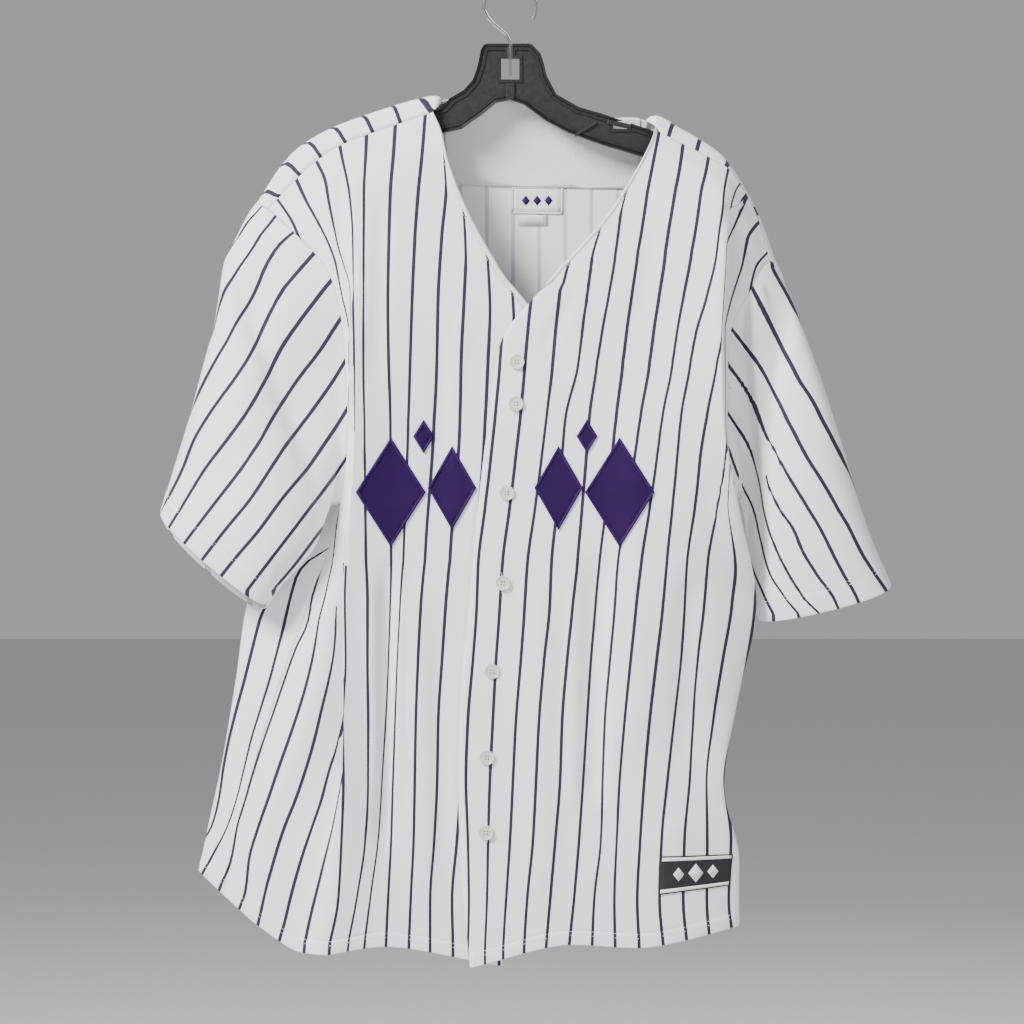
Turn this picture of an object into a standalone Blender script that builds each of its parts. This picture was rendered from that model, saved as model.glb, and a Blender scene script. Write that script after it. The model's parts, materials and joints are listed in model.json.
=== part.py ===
"""Baseball jersey with a button front, hanging on its plastic hanger with a wire hook.

All sizes are in millimetres, as (across, out, up) from the inside top of the hook:
across runs to the left arm side of the garment, out runs from the front to the back.
Each panel is a surface drawn through sections from the hem to the shoulder seam.
"""
import math

import bmesh
import bpy
import numpy as np
from mathutils import Vector
from mathutils.bvhtree import BVHTree

MM = 0.001
NAME = "baseball_jersey_on_hanger"

# Driving sizes
CLOTH = 1.3
SEAM_GAP = 0.5
SLEEVE_GAP = 1.0
LIFT = 0.35
BINDING = 4.6
WIRE = 3.2
HOOK_RADIUS = 23.5
HANGER_DEPTH = 9.0
HANGER_RIM = 3.2
HANGER_WEB = 3.4
BUTTON = 14.0

# Grid steps between the sections, hem to seam, and between the guide lines
ROW_STEPS = (2, 3, 3, 3, 3, 3, 3, 2, 2, 2, 1, 1)
RIGHT_STEPS = (5, 4, 2, 2, 3)
LEFT_STEPS = (5, 3, 3, 2, 2)
BACK_STEPS = (4, 5, 7, 2, 2, 2, 2, 6, 5, 4)
SLEEVE_STEPS = (1, 2, 2, 2, 2, 2, 2)
ARMPIT = sum(ROW_STEPS[:5])

# Sections of the right front, which lies under at the buttons, with its guide lines
RIGHT_NEAR_EDGE = (
    # edge              stripe             fold
    ((-7, -40, -940),  (-118, -44, -921), (-175, -52, -928)),  # hem
    ((-7, -40, -841),  (-114, -46, -839), (-161, -58, -841)),  # tail
    ((-5, -40, -763),  (-111, -46, -763), (-158, -62, -763)),  # hip
    ((0, -40, -683),   (-108, -46, -683), (-157, -62, -684)),  # waist
    ((8, -40, -597),   (-104, -45, -597), (-158, -60, -599)),  # ribs
    ((13, -40, -512),  (-101, -45, -512), (-152, -58, -512)),  # armpit
    ((19, -38, -426),  (-97, -44, -422),  (-147, -57, -423)),  # chest
    ((26, -33, -336),  (-94, -42, -342),  (-148, -54, -345)),  # breast
    ((-10, -31, -277), (-92, -38, -281),  (-148, -46, -281)),  # collar
    ((-42, -26, -218), (-88, -29, -209),  (-152, -34, -212)),  # neck
    ((-60, -21, -170), (-85, -21, -165),  (-156, -24, -182)),  # throat
    ((-66, -17, -144), (-83, -16, -145),  (-160, -18, -170)),  # ridge
    ((-74, -13, -126), (-82, -12, -129),  (-162, -14, -158)),  # seam
)
RIGHT_NEAR_SIDE = (
    # valley             ridge              side
    ((-198, -40, -927), (-239, -30, -903), (-274, -18, -874)),  # hem
    ((-182, -38, -841), (-235, -34, -836), (-264, -20, -830)),  # tail
    ((-159, -24, -764), (-211, -36, -761), (-246, -22, -759)),  # hip
    ((-150, -14, -687), (-186, -34, -684), (-222, -22, -680)),  # waist
    ((-146, -8, -604),  (-170, -26, -600), (-192, -18, -597)),  # ribs
    ((-146, -12, -511), (-154, -6, -505),  (-163, 0, -501)),  # armpit
    ((-146, -30, -425), (-150, -20, -427), (-155, -12, -429)),  # chest
    ((-149, -34, -347), (-153, -24, -348), (-158, -18, -350)),  # breast
    ((-156, -36, -285), (-163, -30, -286), (-171, -26, -284)),  # collar
    ((-171, -31, -224), (-188, -27, -237), (-201, -24, -247)),  # neck
    ((-178, -22, -195), (-197, -20, -212), (-217, -17, -232)),  # throat
    ((-181, -18, -184), (-201, -16, -202), (-223, -13, -226)),  # ridge
    ((-185, -14, -173), (-205, -13, -191), (-232, -9, -219)),  # seam
)
# Sections of the left front, which lies on top and carries the buttons' edge
LEFT_NEAR_EDGE = (
    # edge              stripe            plane
    ((-38, -46, -941), (58, -46, -919),  (123, -46, -922)),  # hem
    ((-47, -46, -841), (63, -47, -839),  (122, -48, -839)),  # tail
    ((-49, -46, -763), (69, -47, -763),  (127, -50, -763)),  # hip
    ((-47, -46, -684), (75, -47, -683),  (135, -52, -683)),  # waist
    ((-39, -46, -598), (82, -46, -597),  (144, -52, -597)),  # ribs
    ((-31, -46, -509), (91, -46, -507),  (154, -52, -505)),  # armpit
    ((-21, -44, -425), (101, -44, -422), (162, -50, -422)),  # chest
    ((-10, -40, -351), (110, -40, -347), (176, -47, -346)),  # breast
    ((34, -36, -292),  (119, -37, -286), (189, -43, -286)),  # collar
    ((97, -28, -220),  (128, -29, -220), (200, -38, -220)),  # neck
    ((129, -20, -167), (139, -19, -167), (206, -26, -197)),  # throat
    ((136, -16, -152), (141, -15, -154), (209, -17, -189)),  # ridge
    ((140, -11, -140), (142, -11, -144), (212, -10, -182)),  # seam
)
LEFT_NEAR_SIDE = (
    # fold              valley            side
    ((218, -22, -903), (217, -6, -906),  (210, 8, -908)),  # hem
    ((218, -30, -841), (214, -8, -841),  (206, 8, -841)),  # tail
    ((203, -40, -768), (197, -14, -766), (189, 6, -763)),  # hip
    ((218, -22, -683), (213, -6, -681),  (205, 8, -680)),  # waist
    ((235, -20, -597), (228, -7, -595),  (221, 5, -594)),  # ribs
    ((218, -40, -509), (217, -22, -505), (212, -2, -497)),  # armpit
    ((202, -52, -422), (206, -30, -425), (208, -11, -426)),  # chest
    ((200, -50, -346), (206, -34, -350), (208, -19, -350)),  # breast
    ((202, -46, -286), (215, -32, -293), (230, -20, -296)),  # collar
    ((206, -36, -227), (220, -26, -250), (236, -15, -285)),  # neck
    ((216, -24, -212), (230, -18, -239), (241, -12, -277)),  # throat
    ((219, -17, -205), (234, -13, -234), (245, -9, -272)),  # ridge
    ((223, -9, -198),  (238, -8, -229),  (249, -6, -268)),  # seam
)
# Sections of the back, which comes forward over the shoulders and round the right side
BACK_RIGHT_HALF = (
    # side_right         turn_right         blade_right        point_right       nape_right
    ((-274, -18, -874), (-298, -2, -853),  (-242, 32, -873),  (-104, 42, -911), (-86, 42, -912)),  # hem
    ((-264, -20, -830), (-289, -2, -809),  (-236, 36, -825),  (-100, 44, -839), (-81, 44, -840)),  # tail
    ((-246, -22, -759), (-276, -2, -749),  (-223, 38, -759),  (-95, 44, -763),  (-76, 44, -763)),  # hip
    ((-222, -22, -680), (-263, 0, -671),   (-209, 38, -678),  (-90, 44, -683),  (-72, 44, -683)),  # waist
    ((-192, -18, -597), (-251, 4, -592),   (-190, 38, -592),  (-86, 44, -592),  (-67, 44, -592)),  # ribs
    ((-163, 0, -501),   (-166, 20, -500),  (-152, 38, -500),  (-81, 44, -500),  (-64, 44, -500)),  # armpit
    ((-164, 18, -429),  (-163, 30, -426),  (-150, 40, -426),  (-78, 44, -421),  (-62, 44, -421)),  # chest
    ((-179, 26, -350),  (-173, 36, -345),  (-150, 40, -345),  (-76, 42, -341),  (-61, 42, -341)),  # breast
    ((-209, 24, -260),  (-196, 34, -271),  (-150, 37, -250),  (-74, 38, -241),  (-60, 38, -246)),  # collar
    ((-230, 16, -233),  (-209, 24, -217),  (-150, 24, -174),  (-73, 27, -165),  (-60, 29, -174)),  # neck
    ((-241, 8, -218),   (-215, 11, -186),  (-150, 9, -138),   (-71, 13, -121),  (-60, 21, -138)),  # throat
    ((-243, 0, -212),   (-218, -1, -173),  (-150, -4, -133),  (-70, -3, -110),  (-60, 16, -120)),  # ridge
    ((-232, -9, -219),  (-211, -13, -196), (-150, -14, -154), (-74, -13, -126), (-61, 13, -111)),  # seam
)
BACK_LEFT_HALF = (
    # centre           nape_left        point_left        blade_left        turn_left        side_left
    ((-10, 44, -915), (84, 42, -912), (104, 42, -911), (171, 34, -901), (198, 24, -901), (210, 8, -908)),  # hem
    ((-7, 46, -844), (86, 44, -840), (104, 44, -839), (171, 36, -835), (194, 24, -837), (206, 8, -841)),  # tail
    ((-4, 46, -763), (88, 44, -763), (106, 44, -763), (167, 36, -759), (179, 24, -763), (189, 6, -763)),  # hip
    ((-1, 46, -683), (91, 44, -683), (109, 44, -683), (175, 36, -678), (193, 24, -680), (205, 8, -680)),  # waist
    ((3, 46, -592), (95, 44, -592), (112, 44, -592), (186, 36, -592), (206, 22, -594), (221, 5, -594)),  # ribs
    ((7, 46, -500), (99, 44, -500), (116, 44, -500), (179, 38, -500), (200, 22, -500), (212, -2, -497)),  # armpit
    ((10, 46, -421), (104, 44, -421), (121, 44, -421), (179, 40, -426), (198, 32, -426), (218, 17, -426)),  # chest
    ((13, 44, -341), (108, 42, -341), (125, 42, -341), (182, 40, -345), (209, 34, -350), (228, 24, -357)),  # breast
    ((16, 41, -260), (114, 38, -250), (130, 38, -250), (185, 37, -260), (220, 30, -293), (241, 22, -313)),  # collar
    ((19, 36, -191), (120, 29, -184), (133, 27, -179), (186, 26, -198), (226, 22, -246), (247, 16, -293)),  # neck
    ((21, 28, -151), (124, 21, -151), (136, 13, -138), (185, 11, -161), (228, 12, -217), (254, 9, -280)),  # throat
    ((23, 21, -125), (124, 16, -134), (138, -3, -129), (182, -2, -152), (228, 1, -204), (256, 2, -271)),  # ridge
    ((24, 15, -110), (125, 13, -128), (140, -11, -140), (186, -11, -170), (229, -9, -212), (249, -6, -268)),  # seam
)
# Rings of the sleeves: top point, under point, depth to the front and to the rear,
# and how far the middle of each hangs below the straight line
RIGHT_SLEEVE = (
    ((-263, 0, -257), (-175, -12, -509), 20, 14, 0, 0),
    ((-274, 0, -302), (-180, -19, -526), 32, 16, 0, 0),
    ((-289, 0, -350), (-188, -22, -544), 40, 16, 0, 0),
    ((-306, 0, -414), (-201, -26, -560), 42, 14, 0, 0),
    ((-323, 0, -469), (-217, -28, -577), 38, 14, 5, 8),
    ((-335, 0, -508), (-232, -28, -593), 30, 14, 11, 21),
)
LEFT_SLEEVE = (
    ((268, 0, -300), (224, 2, -507), 14, 22, 0, 0),
    ((281, 0, -334), (227, 8, -524), 24, 22, 0, 0),
    ((298, 0, -381), (227, 11, -545), 32, 20, 0, 0),
    ((316, 0, -437), (232, 12, -567), 36, 20, 0, 0),
    ((340, 0, -516), (235, 12, -590), 34, 20, 4, 2),
    ((365, 0, -578), (239, 10, -609), 28, 18, 10, 4),
)
# Large soft folds of the fronts: top (across, up), bottom (across, up), half width, depth
RIGHT_FOLDS = (
    ((-116, -545), (-118, -850), 9.0, 7.0),
    ((-88, -560), (-82, -900), 12.0, -3.0),
)
LEFT_FOLDS = (
    ((84, -540), (78, -800), 13.0, 6.0),
    ((170, -560), (166, -760), 14.0, 6.0),
    ((120, -380), (112, -760), 18.0, -4.0),
    ((30, -560), (28, -900), 16.0, -3.0),
)

# Outline of the hanger's frame, upper edge and lower edge, from the right tip to the left
HANGER_TOP = (
    (-210.9, -180.0), (-199.5, -169.6), (-172.9, -153.4), (-142.5, -143.0), (-113.0, -134.4),
    (-85.5, -128.7), (-64.6, -119.2), (-57.9, -111.6), (-44.6, -104.0), (-35.7, -94.0),
    (-31.8, -83.1), (-29.8, -74.6), (-28.0, -65.1), (-25.0, -60.3), (-21.8, -59.2), (18.1, -59.2),
    (21.5, -60.3), (29.4, -68.9), (32.8, -79.3), (35.1, -89.8), (44.6, -107.8), (66.5, -120.2),
    (89.3, -126.8), (134.9, -142.0), (154.8, -153.4), (180.5, -166.7), (195.7, -179.1),
    (207.1, -193.3),
)
HANGER_UNDER = (
    (-209.0, -194.3), (-194.8, -188.6), (-172.9, -177.2), (-142.5, -168.6), (-104.5, -157.2),
    (-64.6, -144.5), (-46.5, -140.6), (-27.0, -126.8), (-13.3, -115.4), (0.0, -112.6),
    (13.8, -117.3), (35.1, -133.5), (56.0, -144.5), (89.3, -156.3), (128.2, -167.7),
    (154.8, -178.1), (175.8, -188.6), (191.9, -200.0), (203.3, -206.6),
)
# The long fold down the left sleeve (across, up), and how far the cloth inside it sits back
TUCK = ((232, -290), (235, -360), (242, -440), (247, -497), (252, -545))
TUCK_DEPTH = 12.0
# Buttons on the left front, from the neck down (across, up)
BUTTONS = ((6.7, -366.2), (5.7, -406.1), (-2.9, -490.7), (-6.7, -576.2), (-17.1, -659.8),
           (-21.9, -741.5), (-22.8, -812.7))
# Plain diamonds of the chest (across, up, half width, half height)
MOTIFS = ((-113, -490, 33, 52), (-55, -486, 23, 40), (-82, -437, 10, 16),
          (46, -486, 23, 40), (104, -490, 33, 52), (73, -437, 10, 16))
PATCH = ((143, -835), (212, -834), (209, -864), (141, -872))


def fresh_collection(name, shown=True):
    """Make a collection that takes the finished parts or the cutting tools."""
    group = bpy.data.collections.new(name)
    bpy.context.scene.collection.children.link(group)
    group.hide_render = not shown
    return group


def material(name, colour, roughness, sheen=0.0, metallic=0.0):
    """Make a plain material on the standard shader."""
    made = bpy.data.materials.new(name)
    made.use_nodes = True
    shader = made.node_tree.nodes["Principled BSDF"]
    shader.inputs["Base Color"].default_value = (*colour, 1.0)
    shader.inputs["Roughness"].default_value = roughness
    shader.inputs["Sheen Weight"].default_value = sheen
    shader.inputs["Metallic"].default_value = metallic
    made.diffuse_color = (*colour, 1.0)
    return made


def flow(values, at):
    """Read a smooth line through the values at whole numbers, with no overshoot."""
    values = np.asarray(values, float)
    step = np.diff(values, axis=0)
    slope = np.zeros_like(values)
    slope[0] = step[0]
    slope[-1] = step[-1]
    both = step[:-1] * step[1:]
    total = step[:-1] + step[1:]
    safe = np.where(np.abs(total) < 1e-9, 1.0, total)
    slope[1:-1] = np.where(both > 0, 2.0 * both / safe, 0.0)
    at = np.asarray(at, float)
    low = np.clip(np.floor(at).astype(int), 0, len(values) - 2)
    part = (at - low).reshape((-1,) + (1,) * (values.ndim - 1))
    cube = part ** 3
    square = part ** 2
    return ((2 * cube - 3 * square + 1) * values[low] + (cube - 2 * square + part) * slope[low]
            + (3 * square - 2 * cube) * values[low + 1] + (cube - square) * slope[low + 1])


def stops(steps):
    """Turn a list of step counts into reading positions."""
    places = [0.0]
    for index, count in enumerate(steps):
        places += [index + (k + 1) / count for k in range(count)]
    return places


def panel(table, across_steps):
    """Draw a panel's surface as rows of points from the hem up."""
    lines = flow(np.array(table, float), stops(ROW_STEPS))
    return flow(lines.swapaxes(0, 1), stops(across_steps)).swapaxes(0, 1).copy()


def press_folds(grid, folds, free):
    """Push soft troughs (or ridges, with a negative depth) into the flat part of a front."""
    for top, bottom, width, depth in folds:
        start = np.array(top, float)
        run = np.array(bottom, float) - start
        place = grid[..., (0, 2)] - start
        along = np.clip((place @ run) / (run @ run), 0.0, 1.0)
        away = np.linalg.norm(place - along[..., None] * run, axis=-1)
        ends = np.clip(np.minimum(along, 1.0 - along) * 6.0, 0.0, 1.0)
        ends = ends * ends * (3.0 - 2.0 * ends)
        grid[..., 1] += depth * np.exp(-(away / width) ** 2) * ends * free


def weld(grid, index, target, axis, reach=4):
    """Bring one edge of a grid onto the target points and ease the change inward."""
    view = grid if axis == 0 else grid.swapaxes(0, 1)
    inward = -1 if index == -1 else 1
    rows = slice(None) if len(target) == view.shape[1] else slice(0, len(target))
    shift = np.asarray(target) - view[index][rows]
    for k in range(reach):
        ease = (1.0 - k / reach) ** 2
        view[index + k * inward][rows] += shift * ease


def draw_back(right, left):
    """Draw the back and bring its edges onto those of the two fronts."""
    whole = [a + b for a, b in zip(BACK_RIGHT_HALF, BACK_LEFT_HALF)]
    grid = panel(whole, BACK_STEPS)
    near = right.shape[1]
    far = left.shape[1]
    top = grid[-1].copy()
    top[:near] = right[-1, ::-1]
    top[-far:] = left[-1]
    weld(grid, -1, top, 0, 3)
    for side, edge in ((0, right), (-1, left)):
        line = grid[:, side].copy()
        line[:ARMPIT + 1] = edge[:ARMPIT + 1, -1]
        weld(grid, side, line, 1)
    return grid


def draw_sleeve(front, back_edge, rings):
    """Draw a sleeve as rings from the shared armhole line out to the cuff."""
    first = list(front[:ARMPIT - 1:-1, -1]) + list(back_edge[ARMPIT + 1:-1])
    count = len(first)
    loops = [np.array(first)]
    turn = np.arange(count) * 2.0 * math.pi / count
    high = np.clip(np.cos(turn), 0.0, 1.0) ** 2
    aside = (8.0 - 4.0 * high) * math.copysign(1.0, rings[0][0][0])
    loops.append(loops[0] + np.stack((aside, 0.0 * high, -1.5 - 5.5 * high), axis=1))
    for top, under, ahead, behind, ahead_drop, behind_drop in rings:
        top = np.array(top, float)
        under = np.array(under, float)
        down = np.cos(turn)
        down = np.sign(down) * np.abs(down) ** 0.85
        out = np.sin(turn)
        full = np.abs(out) ** 0.75
        loop = (top + under) / 2 + np.outer(down, (top - under) / 2)
        loop[:, 1] += np.where(out > 0, -ahead * full, behind * full)
        loop[:, 2] -= np.where(out > 0, ahead_drop * full, behind_drop * full)
        loops.append(loop)
    grid = flow(np.array(loops), stops(SLEEVE_STEPS))
    if rings is LEFT_SLEEVE:
        tuck(grid, np.clip(np.sin(turn) * 2.2, 0.0, 1.0))
    return grid


def tuck(grid, free):
    """Set the cloth between the left sleeve's long fold and the body back from the viewer."""
    places = np.array(TUCK, float)[::-1]
    ridge = np.interp(grid[..., 2], places[:, 1], places[:, 0])
    inside = np.clip((ridge - grid[..., 0]) / 8.0, 0.0, 1.0)
    start = np.clip(np.array(stops(SLEEVE_STEPS)) / 1.2, 0.0, 1.0)[:, None]
    end = np.clip((grid[..., 2] + 585.0) / 60.0, 0.0, 1.0)
    shift = inside * inside * (3.0 - 2.0 * inside) * start * end * end * (3.0 - 2.0 * end)
    grid[..., 1] += TUCK_DEPTH * shift * free


def trimmed(grid, sides, amount):
    """Shorten a grid at the named edges, so that sewn pieces stay a hair apart."""
    out = grid.copy()
    edges = {"hem": (0, 0, 1), "top": (0, -1, -2), "first": (1, 0, 1), "last": (1, -1, -2)}
    for side in sides:
        axis, edge, inner = edges[side]
        view = out if axis == 0 else out.swapaxes(0, 1)
        way = view[inner] - view[edge]
        size = np.maximum(np.linalg.norm(way, axis=-1, keepdims=True), 1e-6)
        view[edge] = view[edge] + way / size * np.minimum(amount, size * 0.5)
    return out


def mesh_object(name, group, paint, build):
    """Make a named object from a building function and link it."""
    mesh = bpy.data.meshes.new(name)
    bm = bmesh.new()
    build(bm)
    bm.to_mesh(mesh)
    bm.free()
    made = bpy.data.objects.new(name, mesh)
    made.data.materials.append(paint)
    group.objects.link(made)
    return made


def thicken(made, thickness, offset=0.0):
    """Give an open sheet its wall."""
    wall = made.modifiers.new("wall", "SOLIDIFY")
    wall.thickness = thickness * MM
    wall.offset = offset
    wall.use_even_offset = False
    return made


def fill_grid(bm, grid, closed=False):
    """Lay the faces of a grid of points."""
    rows, cols = grid.shape[:2]
    verts = [[bm.verts.new(Vector(p) * MM) for p in row] for row in grid]
    for i in range(rows - 1):
        for j in range(cols if closed else cols - 1):
            k = (j + 1) % cols
            bm.faces.new((verts[i][j], verts[i][k], verts[i + 1][k], verts[i + 1][j]))
    bm.normal_update()


def sheet(name, grid, group, paint, closed=False, thickness=CLOTH):
    """Make a thickened cloth piece from a grid."""
    made = mesh_object(name, group, paint, lambda bm: fill_grid(bm, grid, closed))
    return thicken(made, thickness)


def laid_piece(name, grid, corners, lift, thickness, group, paint):
    """Cut a flat-sided piece from a panel's own surface and move it out, off the panel."""
    def build(bm):
        fill_grid(bm, grid)
        if sum(face.normal.y for face in bm.faces) > 0:
            bmesh.ops.reverse_faces(bm, faces=bm.faces[:])
            bm.normal_update()
        shifts = [(vert, vert.normal * lift * MM) for vert in bm.verts]
        for vert, shift in shifts:
            vert.co += shift
        middle = np.mean(corners, axis=0)
        for k, corner in enumerate(corners):
            ahead = corners[(k + 1) % len(corners)]
            side = Vector((ahead[1] - corner[1], 0.0, corner[0] - ahead[0])).normalized()
            centre = Vector((middle[0] - corner[0], 0.0, middle[1] - corner[1]))
            if side.dot(centre) > 0:
                side.negate()
            everything = bm.verts[:] + bm.edges[:] + bm.faces[:]
            bmesh.ops.bisect_plane(bm, geom=everything, dist=1e-7, clear_outer=True,
                                   plane_co=(corner[0] * MM, 0.0, corner[1] * MM), plane_no=side)
        bmesh.ops.remove_doubles(bm, verts=bm.verts[:], dist=0.00005)
        bm.normal_update()
    return thicken(mesh_object(name, group, paint, build), thickness, 1.0)


def tree_of(grid):
    """Prepare a panel's surface for finding the point under a button."""
    rows, cols = grid.shape[:2]
    points = [Vector(p) for p in grid.reshape(-1, 3)]
    faces = [(i * cols + j, i * cols + j + 1, (i + 1) * cols + j + 1, (i + 1) * cols + j)
             for i in range(rows - 1) for j in range(cols - 1)]
    return BVHTree.FromPolygons(points, faces)


def button(name, tree, place, group, paint):
    """Turn a rimmed button that lies flat on the panel."""
    hit, normal, _, _ = tree.ray_cast(Vector((place[0], -300.0, place[1])), Vector((0, 1, 0)))
    if normal.y > 0:
        normal.negate()
    radius = BUTTON / 2
    profile = ((0.0, 0.0), (radius - 0.8, 0.0), (radius, 0.9), (radius - 0.6, 2.2),
               (radius - 2.2, 1.5), (0.0, 1.4))
    base = hit + normal * (CLOTH / 2 + LIFT + 0.15)
    turn = normal.to_track_quat("Z", "Y")

    def build(bm):
        verts = [bm.verts.new(Vector((r * MM, 0.0, h * MM))) for r, h in profile]
        edges = [bm.edges.new(pair) for pair in zip(verts, verts[1:])]
        bmesh.ops.spin(bm, geom=verts + edges, cent=(0, 0, 0), axis=(0, 0, 1),
                       angle=2 * math.pi, steps=18, use_merge=True)
        bmesh.ops.remove_doubles(bm, verts=bm.verts[:], dist=0.00001)
        bmesh.ops.recalc_face_normals(bm, faces=bm.faces[:])
        for vert in bm.verts:
            vert.co = base * MM + turn @ vert.co
    return mesh_object(name, group, paint, build)


def box_cutter(name, low, high, group):
    """Make a plain cutting block."""
    def build(bm):
        bmesh.ops.create_cube(bm, size=1.0)
        for vert in bm.verts:
            for axis in range(3):
                side = high[axis] if vert.co[axis] > 0 else low[axis]
                vert.co[axis] = side * MM
    mesh = bpy.data.meshes.new(name)
    bm = bmesh.new()
    build(bm)
    bm.to_mesh(mesh)
    bm.free()
    made = bpy.data.objects.new(name, mesh)
    made.hide_render = True
    made.hide_viewport = True
    group.objects.link(made)
    return made


def build_hanger(group, tools, paint):
    """Build the moulded frame: a thin web inside a raised rim, with its window and slot."""
    outline = list(HANGER_TOP) + list(reversed(HANGER_UNDER))

    def build(bm):
        verts = [bm.verts.new((x * MM, -HANGER_DEPTH / 2 * MM, z * MM)) for x, z in outline]
        face = bm.faces.new(verts)
        grown = bmesh.ops.extrude_face_region(bm, geom=[face])
        moved = [v for v in grown["geom"] if isinstance(v, bmesh.types.BMVert)]
        bmesh.ops.translate(bm, verts=moved, vec=(0.0, HANGER_DEPTH * MM, 0.0))
        bmesh.ops.recalc_face_normals(bm, faces=bm.faces[:])
        sunk = (HANGER_DEPTH - HANGER_WEB) / 2 * MM
        for way in (-1, 1):
            bm.normal_update()
            flat = max(bm.faces, key=lambda f: f.normal.y * way * f.calc_area())
            bmesh.ops.inset_region(bm, faces=[flat], thickness=HANGER_RIM * MM)
            for vert in flat.verts:
                vert.co.y -= way * sunk
        bm.normal_update()
    made = mesh_object("hanger", group, paint, build)
    cuts = (("window", (-8.5, -20, -93.5), (8.9, 20, -73.2)),
            ("wire_slot", (-1.95, -20, -76), (1.95, 20, -50)),
            ("strap_notch", (99, -20, -141), (116, 20, -133)))
    for name, low, high in cuts:
        cut = made.modifiers.new(name, "BOOLEAN")
        cut.operation = "DIFFERENCE"
        cut.solver = "EXACT"
        cut.object = box_cutter("cut_" + name, low, high, tools)
    return made


def build_hook(group, paint):
    """Bend the wire hook from the slot in the frame up and over to its tip."""
    centre_up = -HOOK_RADIUS
    radius = HOOK_RADIUS + WIRE / 2
    points = [(0.0, -90.0), (0.0, -62.0), (-0.6, -56.0), (-3.2, -50.5), (-9.0, -45.5),
              (-15.5, -40.5), (-21.0, -34.0)]
    for step in range(17):
        turn = math.radians(188.0 - step * (188.0 + 28.0) / 16)
        points.append((radius * math.cos(turn), centre_up + radius * math.sin(turn)))
    curve = bpy.data.curves.new("hook_wire", "CURVE")
    curve.dimensions = "3D"
    curve.bevel_depth = WIRE / 2 * MM
    curve.bevel_resolution = 3
    curve.use_fill_caps = True
    line = curve.splines.new("POLY")
    line.points.add(len(points) - 1)
    for spot, (x, z) in zip(line.points, points):
        spot.co = (x * MM, 0.0, z * MM, 1.0)
    made = bpy.data.objects.new("hook_wire", curve)
    curve.materials.append(paint)
    group.objects.link(made)
    return made


def build_neck(back, fronts, group, paint):
    """Build the plain facing inside the back neck and the rolled bindings of the front."""
    first = sum(BACK_STEPS[:2])
    last = len(back[0]) - sum(BACK_STEPS[-2:])
    inside = trimmed(back[ARMPIT:, first:last], ("top",), SEAM_GAP)
    corners = ((-58, -60), (118, -60), (114, -196), (-50, -192))
    laid_piece("back_neck_facing", inside, corners, CLOTH / 2 + LIFT + 0.25, 1.0, group, paint)
    for name, grid in fronts:
        start = sum(ROW_STEPS[:7 if name == "right" else 8])
        edge = grid[start:, 0]
        way = grid[start:, 1] - edge
        size = np.linalg.norm(way, axis=-1, keepdims=True)
        inner = edge + way / size * np.minimum(BINDING, size * 0.6)
        strip = np.stack((edge, (edge + inner) / 2, inner), axis=1)
        strip = trimmed(strip, ("last", "top"), SEAM_GAP / 2)
        sheet("neck_binding_" + name, strip, group, paint)
        grid[start:, 0] = inner + way / size * SEAM_GAP / 2


def build():
    """Build every piece of the jersey and its hanger."""
    group = fresh_collection(NAME)
    tools = fresh_collection("cutting_tools", shown=False)
    white = material("white_jersey_knit", (0.86, 0.86, 0.88), 0.75, 0.3)
    plain = material("white_facing_cloth", (0.80, 0.80, 0.82), 0.8, 0.2)
    purple = material("purple_twill", (0.09, 0.02, 0.2), 0.6, 0.3)
    black = material("black_woven_label", (0.02, 0.02, 0.022), 0.7)
    woven = material("white_woven_label", (0.82, 0.82, 0.80), 0.7)
    pearl = material("pearly_button", (0.85, 0.82, 0.74), 0.25)
    plastic = material("charcoal_plastic", (0.02, 0.021, 0.023), 0.4)
    steel = material("hook_steel", (0.6, 0.6, 0.6), 0.3, metallic=1.0)

    right = panel([a + b for a, b in zip(RIGHT_NEAR_EDGE, RIGHT_NEAR_SIDE)], RIGHT_STEPS)
    left = panel([a + b for a, b in zip(LEFT_NEAR_EDGE, LEFT_NEAR_SIDE)], LEFT_STEPS)
    right_free = np.clip((11 - np.arange(right.shape[1])) / 3.0, 0.0, 1.0)
    left_free = np.clip((11 - np.arange(left.shape[1])) / 3.0, 0.0, 1.0)
    press_folds(right, RIGHT_FOLDS, right_free)
    press_folds(left, LEFT_FOLDS, left_free)
    back = draw_back(right, left)
    sleeves = {"right": draw_sleeve(right, back[:, 0], RIGHT_SLEEVE),
               "left": draw_sleeve(left, back[:, -1], LEFT_SLEEVE)}

    build_hanger(group, tools, plastic)
    build_hook(group, steel)
    build_neck(back, (("right", right), ("left", left)), group, plain)
    half = SEAM_GAP / 2
    sheet("front_right", trimmed(right, ("top", "last"), half), group, white)
    sheet("front_left", trimmed(left, ("top", "last"), half), group, white)
    sheet("back", trimmed(back, ("top", "first", "last"), half), group, white)
    for side, grid in sleeves.items():
        sheet("sleeve_" + side, trimmed(grid, ("hem",), SLEEVE_GAP), group, white, closed=True)

    lift = CLOTH / 2 + LIFT
    for index, (x, z, wide, high) in enumerate(MOTIFS):
        grid = right[:, :12] if x < 0 else left[:, :12]
        corners = ((x - wide, z), (x, z + high), (x + wide, z), (x, z - high))
        laid_piece("chest_motif_%d" % (index + 1), grid, corners, lift, 1.0, group, purple)
    laid_piece("hem_patch", left[:, :12], PATCH, lift, 1.0, group, black)
    inside = back[ARMPIT:, sum(BACK_STEPS[:3]):len(back[0]) - sum(BACK_STEPS[-3:])]
    label = ((3, -200), (48, -200), (48, -226), (3, -226))
    tab = ((4, -227), (36, -227), (36, -239), (4, -239))
    laid_piece("neck_label", inside, label, lift, 1.0, group, woven)
    laid_piece("size_tab", inside, tab, lift, 1.0, group, woven)
    tree = tree_of(left)
    for index, place in enumerate(BUTTONS):
        button("button_%d" % (index + 1), tree, place, group, pearl)


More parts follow.
